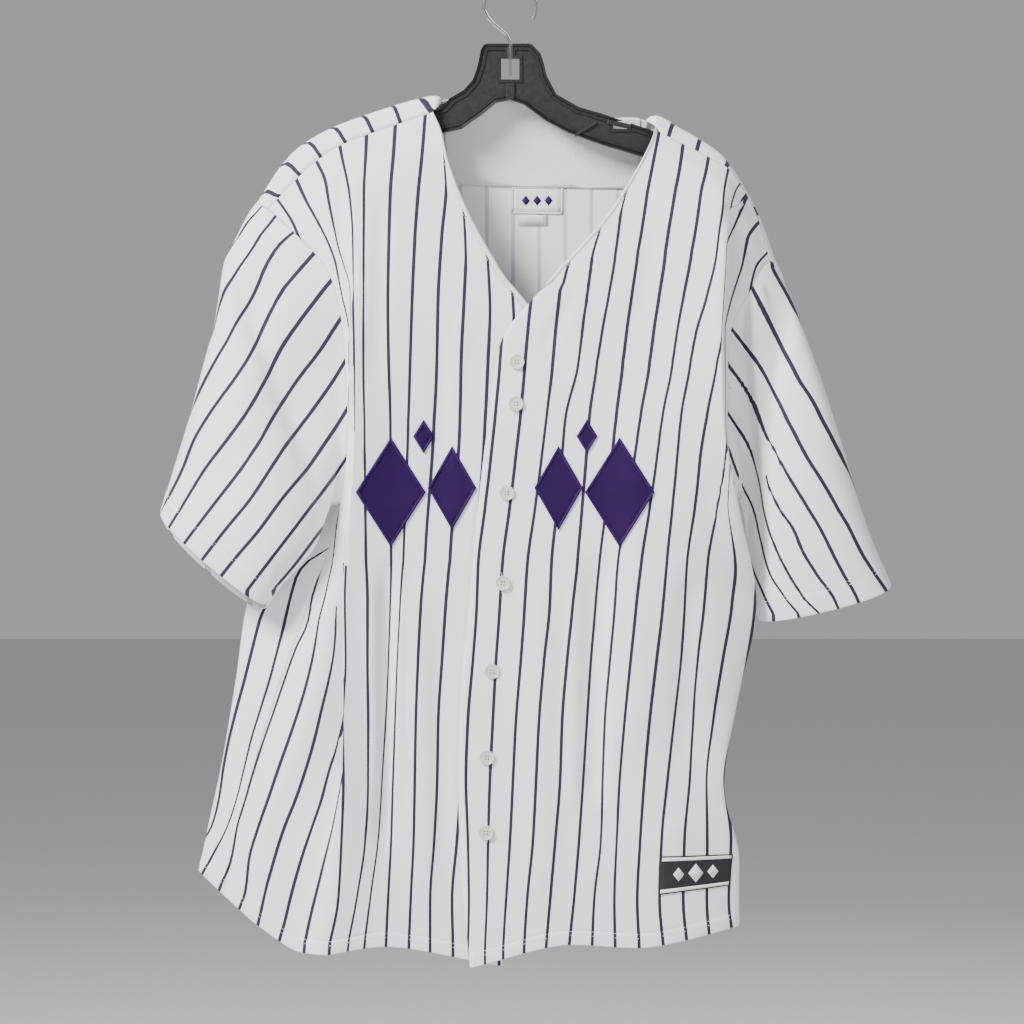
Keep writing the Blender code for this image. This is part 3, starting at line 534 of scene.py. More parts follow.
# The same over the left shoulder, with the numbers falling away from the middle
LEFT_RIDGE_STRIPES = ((646, -5), (675, -6), (702.3, -7), (731, -8), (760, -9))
LEFT_SEAM_STRIPES = ((642, -5), (669.5, -6), (697.8, -7), (728, -8), (757, -9))

BUTTONS = ((6.7, -366.2), (5.7, -406.1), (-2.9, -490.7), (-6.7, -576.2), (-17.1, -659.8),
           (-21.9, -741.5), (-22.8, -812.7))
MOTIFS = ((-113, -490, 33, 52), (-55, -486, 23, 40), (-82, -437, 10, 16),
          (46, -486, 23, 40), (104, -490, 33, 52), (73, -437, 10, 16))
# How much deeper than the tables say the fronts' creases are pressed
CREASE_STRENGTH = 1.5
# The dip of the back's neck edge: middle, half width, where it starts, its rise and its depth
DIP_MIDDLE = 90.0
DIP_HALF = 48.0
DIP_START = -165.0
DIP_RISE = 45.0
DIP_DEPTH = 9.0
# How far the right sleeve's cap swells, and over what length
CAP_SWELL = 7.0
CAP_LENGTH = 130.0
# Heights between which stripes beyond a front's fold are kept from bunching
BUNCHED = (-540.0, -330.0)
# A sleeve's stripes keep their pitch up to ROUND_REACH of its outer edge, judged up to ROUND_JUDGE
ROUND_REACH = 16.0
ROUND_JUDGE = 40.0
# The picture's column where the back's middle stripe would be
BACK_MIDDLE_COLUMN = 513.0
# The long fold down the left sleeve, and how far the cloth inside it sits back
TUCK = ((232, -290), (235, -360), (242, -440), (247, -497), (252, -545))
TUCK_DEPTH = 12.0
PATCH = ((143, -835), (212, -834), (209, -864), (141, -872))

LOG = logging.getLogger("jersey")
Points = np.ndarray


class Side(Enum):
    """The garment's two sides, named for the wearer."""

    RIGHT = "right"
    LEFT = "left"


class Edge(Enum):
    """The four edges of a grid of cloth points."""

    HEM = (0, 0, 1)
    TOP = (0, -1, -2)
    FIRST = (1, 0, 1)
    LAST = (1, -1, -2)


def flow(values: Points, at: Points) -> Points:
    """Read a smooth line through the values at whole numbers, with no overshoot.

    Args:
        values: The values, along the first axis.
        at: The places to read.

    Returns:
        The values read.
    """
    values = np.asarray(values, float)
    step = np.diff(values, axis=0)
    slope = np.zeros_like(values)
    slope[0] = step[0]
    slope[-1] = step[-1]
    total = step[:-1] + step[1:]
    both = step[:-1] * step[1:]
    safe = np.where(np.abs(total) < 1e-9, 1.0, total)
    slope[1:-1] = np.where(both > 0, 2.0 * both / safe, 0.0)
    at = np.asarray(at, float)
    low = np.clip(np.floor(at).astype(int), 0, len(values) - 2)
    part = (at - low).reshape((-1,) + (1,) * (values.ndim - 1))
    cube = part ** 3
    square = part ** 2
    return ((2 * cube - 3 * square + 1) * values[low] + (cube - 2 * square + part) * slope[low]
            + (3 * square - 2 * cube) * values[low + 1] + (cube - square) * slope[low + 1])


def stops(steps: tuple[int, ...], fine: int = FINE) -> Points:
    """Turn step counts into reading positions, each step cut into finer ones."""
    places = [0.0]
    for index, count in enumerate(steps):
        places += [index + (k + 1) / (count * fine) for k in range(count * fine)]
    return np.array(places)


def panel(table: tuple, steps: tuple[int, ...]) -> Points:
    """Draw a panel's surface as rows of points from the hem up.

    Args:
        table: Sections with their guide points.
        steps: Steps between the guide lines.

    Returns:
        Rows of points.
    """
    lines = flow(np.array(table, float), stops(ROW_STEPS))
    return flow(lines.swapaxes(0, 1), stops(steps)).swapaxes(0, 1).copy()


def press(grid: Points, folds: tuple, free: Points) -> None:
    """Press troughs, or ridges with a negative depth, into a grid.

    Args:
        grid: The cloth points, changed in place.
        folds: Rows of top, bottom, half width and depth.
        free: How far each column may move, from 0 to 1.
    """
    for top, bottom, width, depth in folds:
        start = np.array(top, float)
        run = np.array(bottom, float) - start
        place = grid[..., (0, 2)] - start
        along = np.clip((place @ run) / (run @ run), 0.0, 1.0)
        away = np.linalg.norm(place - along[..., None] * run, axis=-1)
        ends = np.clip(np.minimum(along, 1.0 - along) * 6.0, 0.0, 1.0)
        ends = ends * ends * (3.0 - 2.0 * ends)
        grid[..., 1] += depth * np.exp(-(away / width) ** 2) * ends * free


def weld(grid: Points, index: int, target: Points, axis: int, reach: int) -> None:
    """Bring one edge onto the target points and ease the change inward.

    Args:
        grid: The cloth points, changed in place.
        index: 0 or -1, the edge.
        target: Where the edge goes.
        axis: 0 for a row, 1 for a column.
        reach: How many lines the change fades over.
    """
    view = grid if axis == 0 else grid.swapaxes(0, 1)
    inward = -1 if index == -1 else 1
    shift = target - view[index]
    for k in range(reach):
        view[index + k * inward] += shift * (1.0 - k / reach) ** 2


def trimmed(grid: Points, edges: tuple[Edge, ...], amount: float) -> Points:
    """Shorten a grid at the named edges, for the hair's breadth at a seam.

    Args:
        grid: The cloth points.
        edges: The edges that move inward.
        amount: How far, in millimetres.

    Returns:
        The shortened grid.
    """
    out = grid.copy()
    for edge in edges:
        axis, outer, inner = edge.value
        view = out if axis == 0 else out.swapaxes(0, 1)
        way = view[inner] - view[outer]
        size = np.maximum(np.linalg.norm(way, axis=-1, keepdims=True), 1e-6)
        view[outer] = view[outer] + way / size * np.minimum(amount, size * 0.5)
    return out


def grid_normals(grid: Points, outward: int, closed: bool = False) -> Points:
    """Work out the outward directions of a grid of points.

    Args:
        grid: The cloth points.
        outward: 1 or -1, the side that faces out.
        closed: Whether the last column joins the first.

    Returns:
        One unit direction a point.
    """
    if closed:
        ring = np.concatenate((grid[:, -1:], grid, grid[:, :1]), axis=1)
        across = (ring[:, 2:] - ring[:, :-2])
    else:
        across = np.gradient(grid, axis=1)
    along = np.gradient(grid, axis=0)
    made = np.cross(across, along) * outward
    return made / np.maximum(np.linalg.norm(made, axis=-1, keepdims=True), 1e-9)


def stripe_numbers(place: Points, table: tuple, toward: int, names: tuple = ()) -> Points:
    """Read which stripe lies at each point from the photograph's crossings.

    Args:
        place: Points, as (..., 3).
        table: Rows of a picture row and the stripes' crossings.
        toward: 1 where the numbers grow to the right, -1 to the left.
        names: The crossings' stripe numbers, if they don't simply count from 0.

    Returns:
        The stripe numbers, with whole numbers at the stripes' middles.
    """
    data = np.array(table, float)
    rows = data[:, 0]
    across = (place[..., 0].ravel() / PIXEL + PICTURE_MIDDLE) * toward
    down = -place[..., 2].ravel() / PIXEL - PICTURE_TOP
    at = np.interp(down, rows, np.arange(len(rows)))
    marks = flow(data[:, 1:] * toward, at)
    low = np.clip((marks <= across[:, None]).sum(axis=1) - 1, 0, marks.shape[1] - 2)
    pick = np.arange(len(across))
    gap = marks[pick, low + 1] - marks[pick, low]
    names = np.array(names or range(marks.shape[1]), float)
    share = (across - marks[pick, low]) / gap
    narrow = np.clip((11.0 - gap) / 5.0, 0.0, 1.0) * (np.diff(names)[low] == 1)
    slope = 1.0 - narrow * (1.0 - gap / 26.0)
    eased = share * share * (3 - 2 * share) + slope * share * (1 - share) * (1 - 2 * share)
    share = share * (1 - narrow) + eased * narrow
    read = names[low] * (1 - share) + names[low + 1] * share
    return read.reshape(place.shape[:-1])


def blanked(points: Points, paths: tuple) -> Points:
    """Mark the points where a fold hides the stripes.

    Args:
        points: The cloth's points.
        paths: Picture points of each hidden stretch, then its half width.

    Returns:
        Marks, above a half where no stripe is drawn.
    """
    spot = np.stack((points[..., 0] / PIXEL + PICTURE_MIDDLE,
                     -points[..., 2] / PIXEL - PICTURE_TOP), axis=-1)
    marks = np.zeros(points.shape[:-1])
    for path in paths:
        for start, end in zip(path[:-2], path[1:-1]):
            way = np.subtract(end, start)
            part = np.clip((spot - start) @ way / (way @ way), 0.0, 1.0)
            far = np.linalg.norm(spot - start - part[..., None] * way, axis=-1)
            marks = np.maximum(marks, np.clip((path[-1] - far) / 3.0 + 0.5, 0.0, 1.0))
    return marks * (points[..., 1] < 26.0)


def beyond_fold(grid: Points, stripes: Points, fold: int, table: tuple, toward: int) -> None:
    """Number the stripes of the cloth that turns away beyond a front's long fold.

    Args:
        grid: The front's points.
        stripes: The stripe numbers, changed in place beyond the fold.
        fold: The fold's column.
        table: The crossings of the stripes that show there, from stripe 7 or 8 on.
        toward: 1 where the numbers grow to the right, -1 to the left.
    """
    arc = level_arc(grid) / PITCH
    read = stripe_numbers(grid, table, toward) + (7.0 if toward < 0 else 8.0)
    edge = grid[:, fold, 0]
    shown = (grid[..., 0] - edge[:, None]) * toward > 1.0
    count = grid.shape[1]
    for i in range(len(grid)):
        hidden = [j for j in range(fold + 1, count) if not shown[i, j]]
        first = hidden[-1] + 1 if hidden else fold + 2
        if first >= count:
            stripes[i, fold:] = stripes[i, fold] + arc[i, fold:] - arc[i, fold]
            continue
        share = (arc[i, fold:first] - arc[i, fold]) / (arc[i, first] - arc[i, fold])
        stripes[i, fold:first] = stripes[i, fold] * (1 - share) + read[i, first] * share
        stripes[i, first:] = read[i, first:]
        if BUNCHED[0] < grid[i, first, 2] < BUNCHED[1]:
            deep = np.diff(arc[i, first:])
            level = np.abs(np.diff(grid[i, first:, 0])) / PITCH
            rise = np.diff(read[i, first:])
            rise = np.where(level < 0.5 * deep, np.maximum(rise, 0.8 * deep), rise)
            stripes[i, first + 1:] = read[i, first] + np.cumsum(rise)


def level_arc(grid: Points) -> Points:
    """Measure each row from its first point, leaving out rise and fall."""
    step = np.linalg.norm(np.diff(grid[..., :2], axis=1), axis=-1)
    return np.concatenate((np.zeros((len(grid), 1)), np.cumsum(step, axis=1)), axis=1)


def column_arc(grid: Points) -> Points:
    """Measure each column from the hem up."""
    step = np.linalg.norm(np.diff(grid, axis=0), axis=-1)
    return np.concatenate((np.zeros((1, grid.shape[1])), np.cumsum(step, axis=0)), axis=0)


@dataclass
class Cloth:
    """A grid of cloth points with the stripe number at each corner of its faces."""

    points: Points
    outward: int
    left: Points = None
    right: Points = None
    closed: bool = False
    along: Points = None

    def number(self, stripes: Points) -> None:
        """Take one stripe number a point, for cloth with no seam inside it."""
        self.left = stripes[:, :-1]
        self.right = stripes[:, 1:]
        self.along = column_arc(self.points) / PITCH

    def turn_up(self, edge: Edge, depth: float, rise: float) -> None:
        """Add fine rows at a hem and raise its turned-up cloth above a stitched groove.

        Args:
            edge: Edge.HEM or Edge.TOP, where the hem is.
            depth: Height of the hem, in millimetres.
            rise: How far the hem stands out.
        """
        at_top = edge is Edge.TOP
        parts = [self.points, self.left, self.right, self.along]
        if at_top:
            parts = [part[::-1] for part in parts]
        wanted = [0.4, 1.2, depth * 0.45, depth * 0.8, depth - 1.3, depth - 0.5, depth + 0.3,
                  depth + 1.1, depth + 3.0]
        span = np.median(column_arc(parts[0]), axis=1)
        places = np.unique(np.concatenate((np.arange(len(span)),
                                           np.interp(wanted, span, np.arange(len(span))))))
        low = np.clip(places.astype(int), 0, len(span) - 2)
        part_way = places - low
        fresh = []
        for part in parts:
            share = part_way.reshape((-1,) + (1,) * (part.ndim - 1))
            fresh.append(part[low] * (1 - share) + part[low + 1] * share)
        out = grid_normals(fresh[0], -self.outward if at_top else self.outward, self.closed)
        far = column_arc(fresh[0])
        lift = np.where(far < depth, rise, 0.0) * np.clip(far / 0.8 + 0.35, 0.0, 1.0)
        groove = np.exp(-((far - depth) / 0.8) ** 2) * rise * 1.3
        fresh[0] = fresh[0] + out * (lift - groove)[..., None]
        if at_top:
            fresh = [part[::-1] for part in fresh]
        self.points, self.left, self.right, self.along = fresh

    def normals(self) -> Points:
        """Outward directions of the points."""
        return grid_normals(self.points, self.outward, self.closed)

    def inset(self, edge: Edge, distance: float) -> tuple[Points, Points]:
        """Find the line at a distance from an edge.

        Args:
            edge: The edge to measure from.
            distance: How far in, in millimetres.

        Returns:
            The points of the line and the outward directions there.
        """
        axis, outer, _ = edge.value
        points = self.points if axis == 0 else self.points.swapaxes(0, 1)
        turned = self.normals()
        turned = turned if axis == 0 else turned.swapaxes(0, 1)
        if outer == -1:
            points = points[::-1]
            turned = turned[::-1]
        arc = column_arc(points)
        line = []
        faces = []
        for j in range(points.shape[1]):
            at = np.interp(distance, arc[:, j], np.arange(len(points)))
            low = min(int(at), len(points) - 2)
            part = at - low
            line.append(points[low, j] * (1 - part) + points[low + 1, j] * part)
            faces.append(turned[low, j] * (1 - part) + turned[low + 1, j] * part)
        return np.array(line), np.array(faces)


def link(name: str, mesh: bpy.types.Mesh, *paints: bpy.types.Material) -> bpy.types.Object:
    """Make an object of a mesh, with its finishes, and let it ride with the jersey."""
    made = bpy.data.objects.new(name, mesh)
    for paint in paints:
        mesh.materials.append(paint)
    bpy.context.scene.collection.objects.link(made)
    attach(made, "root")
    return made


def smooth(made: bpy.types.Object) -> None:
    """Shade an object's faces smoothly."""
    made.data.polygons.foreach_set("use_smooth", [True] * len(made.data.polygons))


def wall(made: bpy.types.Object, thickness: float, offset: float, inside: int = 0) -> None:
    """Give an open sheet its wall.

    Args:
        made: The sheet.
        thickness: The wall, in millimetres.
        offset: -1 inward, 0 centred, 1 outward.
        inside: Finish number added on the inner side.
    """
    solid = made.modifiers.new("wall", "SOLIDIFY")
    solid.thickness = thickness * MM
    solid.offset = offset
    solid.use_even_offset = False
    solid.material_offset = inside


def cloth_object(name: str, cloth: Cloth, outer: bpy.types.Material,
                 inner: bpy.types.Material) -> bpy.types.Object:
    """Lay a cloth grid as a walled sheet that carries its stripe numbers.

    Args:
        name: The piece's name.
        cloth: The grid.
        outer: Finish of the face side.
        inner: Finish of the wrong side.

    Returns:
        The new piece.
    """
    rows, cols = cloth.points.shape[:2]
    reach = cols if cloth.closed else cols - 1
    verts = (cloth.points.reshape(-1, 3) * MM).tolist()
    faces = []
    marks = []
    for i in range(rows - 1):
        for j in range(reach):
            k = (j + 1) % cols
            face = [(i, j, cloth.left[i, j]), (i, k, cloth.right[i, j]),
                    (i + 1, k, cloth.right[i + 1, j]), (i + 1, j, cloth.left[i + 1, j])]
            if cloth.outward < 0:
                face.reverse()
            faces.append([a * cols + b for a, b, _ in face])
            marks += [value for a, b, c in face for value in (c, cloth.along[a, b])]
    mesh = bpy.data.meshes.new(name)
    mesh.from_pydata(verts, [], faces)
    layer = mesh.uv_layers.new(name="fabric")
    layer.data.foreach_set("uv", marks)
    made = link(name, mesh, outer, inner)
    if name in BLANKS:
        hidden = mesh.attributes.new("blank", "FLOAT", "POINT")
        hidden.data.foreach_set("value", blanked(cloth.points, BLANKS[name]).ravel())
    smooth(made)
    wall(made, CLOTH, 0.0, 1)
    return made


def laid_mesh(name: str, cloth: Cloth, pieces: list, facing: int = 1) -> bpy.types.Mesh:
    """Cut convex pieces from a cloth's own surface and move each off it.

    Args:
        name: The mesh's name.
        cloth: The cloth that the pieces lie on.
        pieces: Rows of corners (across, up), lift and finish number.
        facing: 1 on the face side, -1 on the wrong side.

    Returns:
        The mesh of all the pieces, open and ready for a wall.
    """
    whole = bmesh.new()
    turned = cloth.normals() * facing
    for corners, lift, finish in pieces:
        near = np.array(corners, float)
        low = near.min(axis=0) - 16.0
        high = near.max(axis=0) + 16.0
        place = cloth.points
        inside = ((place[..., 0] > low[0]) & (place[..., 0] < high[0])
                  & (place[..., 2] > low[1]) & (place[..., 2] < high[1]))
        spots = {}
        part = bmesh.new()
        for i, j in zip(*np.nonzero(inside)):
            spots[i, j] = part.verts.new((place[i, j] + turned[i, j] * lift) * MM)
        for i, j in list(spots):
            ring = [(i, j), (i, j + 1), (i + 1, j + 1), (i + 1, j)]
            if all(spot in spots for spot in ring):
                if cloth.outward * facing < 0:
                    ring.reverse()
                part.faces.new([spots[spot] for spot in ring])
        middle = near.mean(axis=0)
        for k, corner in enumerate(near):
            ahead = near[(k + 1) % len(near)]
            side = Vector((ahead[1] - corner[1], 0.0, corner[0] - ahead[0])).normalized()
            if side.dot(Vector((middle[0] - corner[0], 0.0, middle[1] - corner[1]))) > 0:
                side.negate()
            everything = part.verts[:] + part.edges[:] + part.faces[:]
            bmesh.ops.bisect_plane(part, geom=everything, dist=1e-7, clear_outer=True,
                                   plane_co=(corner[0] * MM, 0.0, corner[1] * MM), plane_no=side)
        bmesh.ops.remove_doubles(part, verts=part.verts[:], dist=0.00003)
        for face in part.faces:
            face.material_index = finish
            face.smooth = True
        spare = bpy.data.meshes.new("spare")
        part.to_mesh(spare)
        part.free()
        whole.from_mesh(spare)
        bpy.data.meshes.remove(spare)
    mesh = bpy.data.meshes.new(name)
    whole.to_mesh(mesh)
    whole.free()
    return mesh


class Desk:
    """A small work desk for laying out one material's nodes."""

    def __init__(self, name: str) -> None:
        """Start a material with the standard shader.

        Args:
            name: The material's name.
        """
        self.paint = bpy.data.materials.new(name)
        self.paint.use_nodes = True
        self.tree = self.paint.node_tree
        self.shader = self.tree.nodes["Principled BSDF"]

    def set(self, **values: object) -> None:
        """Set the shader's own sockets, with underscores for spaces."""
        for key, value in values.items():
            self.shader.inputs[key.replace("_", " ")].default_value = value

    def node(self, kind: str, *links: tuple, **settings: object) -> bpy.types.Node:
        """Add a node.

        Args:
            kind: The node's type, without its prefix.
            *links: Pairs of an input and the value or output that feeds it.
            **settings: The node's own settings.

        Returns:
            The node.
        """
        made = self.tree.nodes.new("ShaderNode" + kind)
        for key, value in settings.items():
            setattr(made, key, value)
        for key, value in links:
            if isinstance(value, bpy.types.NodeSocket):
                self.tree.links.new(value, made.inputs[key])
            else:
                made.inputs[key].default_value = value
        return made

    def math(self, kind: str, first: object, second: object = 0.0) -> bpy.types.NodeSocket:
        """Add one sum and return its result."""
        return self.node("Math", (0, first), (1, second), operation=kind).outputs[0]

    def mix(self, share: object, first: tuple, second: tuple) -> bpy.types.NodeSocket:
        """Mix two colours by a share and return the result."""
        made = self.node("Mix", (0, share), (6, first), (7, second), data_type="RGBA")
        return made.outputs[2]

    def feed(self, key: str, output: bpy.types.NodeSocket) -> None:
        """Feed one of the shader's inputs."""
        self.tree.links.new(output, self.shader.inputs[key])

    def bump(self, height: object, strength: float, distance: float) -> None:
        """Raise the surface by a height."""
        made = self.node("Bump", ("Height", height), ("Strength", strength),
                         ("Distance", distance))
        self.feed("Normal", made.outputs[0])


@dataclass(frozen=True)
class KnitFinish:
    """Double knit with a fine stripe knitted in every 25.4 mm."""

    name: str
    ground: tuple = (0.90, 0.895, 0.915, 1.0)
    shade: tuple = (0.86, 0.858, 0.88, 1.0)
    stripe: tuple = (0.012, 0.0055, 0.034, 1.0)
    half_width: float = 1.8
    strength: float = 1.0

    def make(self) -> bpy.types.Material:
        """Build the finish from the cloth's own stripe numbers."""
        desk = Desk(self.name)
        desk.set(Roughness=0.78, Sheen_Weight=0.25, Sheen_Roughness=0.4)
        fabric = desk.node("UVMap", uv_map="fabric").outputs[0]
        parts = desk.node("SeparateXYZ", (0, fabric)).outputs
        cell = desk.math("FRACT", desk.math("ADD", parts[0], 64.5))
        away = desk.math("ABSOLUTE", desk.math("SUBTRACT", cell, 0.5))
        millimetres = desk.math("MULTIPLY", away, PITCH)
        wale = desk.node("TexNoise", ("Vector", fabric), ("Scale", 26.0), ("Detail", 2.0))
        edge = desk.math("MULTIPLY", wale.outputs[0], 0.34)
        reach = desk.node("MapRange", (0, desk.math("ADD", millimetres, edge)),
                          (1, self.half_width + 0.30), (2, self.half_width + 0.02),
                          (3, 0.0), (4, self.strength))
        blank = desk.node("Attribute", attribute_name="blank").outputs[2]
        drawn = desk.math("MULTIPLY", reach.outputs[0], desk.math("LESS_THAN", blank, 0.5))
        cloud = desk.node("TexNoise", ("Vector", fabric), ("Scale", 0.7), ("Detail", 3.0))
        ground = desk.mix(cloud.outputs[0], self.ground, self.shade)
        colour = desk.node("Mix", (0, drawn), (6, ground), (7, self.stripe),
                           data_type="RGBA")
        desk.feed("Base Color", colour.outputs[2])
        scaled = desk.node("Mapping", (0, fabric), (3, (21.0, 17.0, 1.0)))
        ribs = desk.node("TexWave", (0, scaled.outputs[0]), ("Scale", 1.0), ("Distortion", 0.6),
                         ("Detail", 1.0), bands_direction="X")
        rows = desk.node("TexWave", (0, scaled.outputs[0]), ("Scale", 1.0), ("Distortion", 0.6),
                         ("Detail", 1.0), bands_direction="Y")
        weave = desk.math("ADD", ribs.outputs[1], desk.math("MULTIPLY", rows.outputs[1], 0.6))
        sunk = desk.math("SUBTRACT", weave, desk.math("MULTIPLY", drawn, 0.5))
        desk.bump(sunk, 0.22, 0.0003)
        return desk.paint


@dataclass(frozen=True)
class WovenFinish:
    """Plain or twill cloth seen on the piece's own coordinates."""

    name: str
    light: tuple
    dark: tuple
    roughness: float = 0.75
    sheen: float = 0.2
    slant: float = 0.0
    pitch: float = 0.9
    relief: float = 0.25

    def make(self) -> bpy.types.Material:
        """Build the finish with its threads and a soft cloudiness."""
        desk = Desk(self.name)
        desk.set(Roughness=self.roughness, Sheen_Weight=self.sheen, Sheen_Roughness=0.4)
        desk.set(Specular_IOR_Level=0.15)
        place = desk.node("TexCoord").outputs["Object"]
        turned = desk.node("Mapping", (0, place), (2, (0.0, self.slant, 0.0)))
        count = 1000.0 / (self.pitch * 2.0 * math.pi) * 0.5
        warp = desk.node("TexWave", (0, turned.outputs[0]), ("Scale", count), ("Distortion", 0.8),
                         ("Detail", 1.0), ("Detail Scale", 3.0), bands_direction="X")
        weft = desk.node("TexWave", (0, turned.outputs[0]), ("Scale", count), ("Distortion", 0.8),
                         ("Detail", 1.0), bands_direction="Z")
        cloud = desk.node("TexNoise", ("Vector", place), ("Scale", 45.0), ("Detail", 4.0))
        share = desk.math("ADD", desk.math("MULTIPLY", warp.outputs[1], 0.2),
                          desk.math("MULTIPLY", cloud.outputs[0], 0.8))
        desk.feed("Base Color", desk.mix(share, self.light, self.dark))
        relief = desk.math("ADD", warp.outputs[1], desk.math("MULTIPLY", weft.outputs[1], 0.6))
        desk.bump(relief, self.relief, 0.0003)
        return desk.paint


@dataclass(frozen=True)
class HardFinish:
    """Moulded plastic, pearl or wire, with a fine unevenness."""

    name: str
    light: tuple
    dark: tuple
    roughness: float
    grain: float
    relief: float = 0.1
    metallic: float = 0.0
    coat: float = 0.0
    glow: float = 0.0

    def make(self) -> bpy.types.Material:
        """Build the finish."""
        desk = Desk(self.name)
        desk.set(Metallic=self.metallic, Coat_Weight=self.coat, Coat_Roughness=0.15)
        desk.set(Subsurface_Weight=self.glow, Subsurface_Scale=0.002)
        place = desk.node("TexCoord").outputs["Object"]
        cloud = desk.node("TexNoise", ("Vector", place), ("Scale", self.grain * 0.12),
                          ("Detail", 3.0))
        grain = desk.node("TexNoise", ("Vector", place), ("Scale", self.grain), ("Detail", 2.0))
        desk.feed("Base Color", desk.mix(cloud.outputs[0], self.light, self.dark))
        rough = desk.node("MapRange", (0, cloud.outputs[0]), (1, 0.3), (2, 0.7),
                          (3, self.roughness * 0.85), (4, self.roughness * 1.15))
        desk.feed("Roughness", rough.outputs[0])
        desk.bump(grain.outputs[0], self.relief, 0.0002)
        return desk.paint


@dataclass
class Finishes:
    """Every finish of the jersey, made once."""

    knit: bpy.types.Material = None
    wrong_side: bpy.types.Material = None
    facing: bpy.types.Material = None
    twill: bpy.types.Material = None
    satin: bpy.types.Material = None
    thread: bpy.types.Material = None
    purple_thread: bpy.types.Material = None
    badge: bpy.types.Material = None
    label: bpy.types.Material = None
    pearl: bpy.types.Material = None
    rim: bpy.types.Material = None
    plastic: bpy.types.Material = None
    wire: bpy.types.Material = None

    def make(self) -> "Finishes":
        """Build them all."""
        self.knit = KnitFinish("white_jersey_knit").make()
        self.wrong_side = KnitFinish("wrong_side_of_knit", stripe=(0.34, 0.32, 0.46, 1.0),
                                     strength=0.55, half_width=1.85).make()
        white = (0.80, 0.80, 0.82, 1.0)
        self.facing = WovenFinish("white_facing_cloth", white, (0.72, 0.725, 0.75, 1.0)).make()
        self.twill = WovenFinish("purple_twill", (0.020, 0.0018, 0.058, 1.0),
                                 (0.012, 0.001, 0.036, 1.0), 0.75, 0.03, 0.9, 0.8, 0.15).make()
        self.satin = WovenFinish("purple_satin_edge", (0.032, 0.0045, 0.095, 1.0),
                                 (0.018, 0.003, 0.052, 1.0), 0.62, 0.03, 0.3, 0.7, 0.3).make()
        self.thread = WovenFinish("white_thread", (0.9, 0.9, 0.9, 1.0), white, 0.6).make()
        self.purple_thread = WovenFinish("purple_thread", (0.03, 0.006, 0.08, 1.0),
                                         (0.018, 0.004, 0.05, 1.0), 0.5, 0.05).make()
        self.badge = WovenFinish("black_woven_badge", (0.016, 0.015, 0.018, 1.0),
                                 (0.032, 0.030, 0.036, 1.0), 0.7, 0.2, 0.0, 0.6, 0.35).make()
        self.label = WovenFinish("white_woven_label", (0.86, 0.86, 0.84, 1.0),
                                 (0.72, 0.72, 0.71, 1.0), 0.6, 0.2, 0.0, 0.6, 0.35).make()
        self.pearl = HardFinish("pearly_button", (0.74, 0.73, 0.66, 1.0), (0.56, 0.55, 0.50, 1.0),
                                0.22, 900.0, 0.05, coat=0.6, glow=0.15).make()
        # The rim is the frame's own charcoal plastic made darker: painted shade along the frame's edges.
        self.rim = HardFinish("charcoal_plastic_rim_painted_shade", (0.006, 0.0065, 0.007, 1.0),
                              (0.004, 0.004, 0.0045, 1.0), 0.45, 2200.0, 0.1).make()
        self.plastic = HardFinish("charcoal_plastic", (0.014, 0.0145, 0.016, 1.0),
                                  (0.008, 0.0085, 0.0095, 1.0), 0.42, 2200.0, 0.12).make()
        self.wire = HardFinish("bright_wire", (0.66, 0.66, 0.66, 1.0), (0.5, 0.5, 0.5, 1.0),
                               0.24, 700.0, 0.04, metallic=1.0).make()
        return self


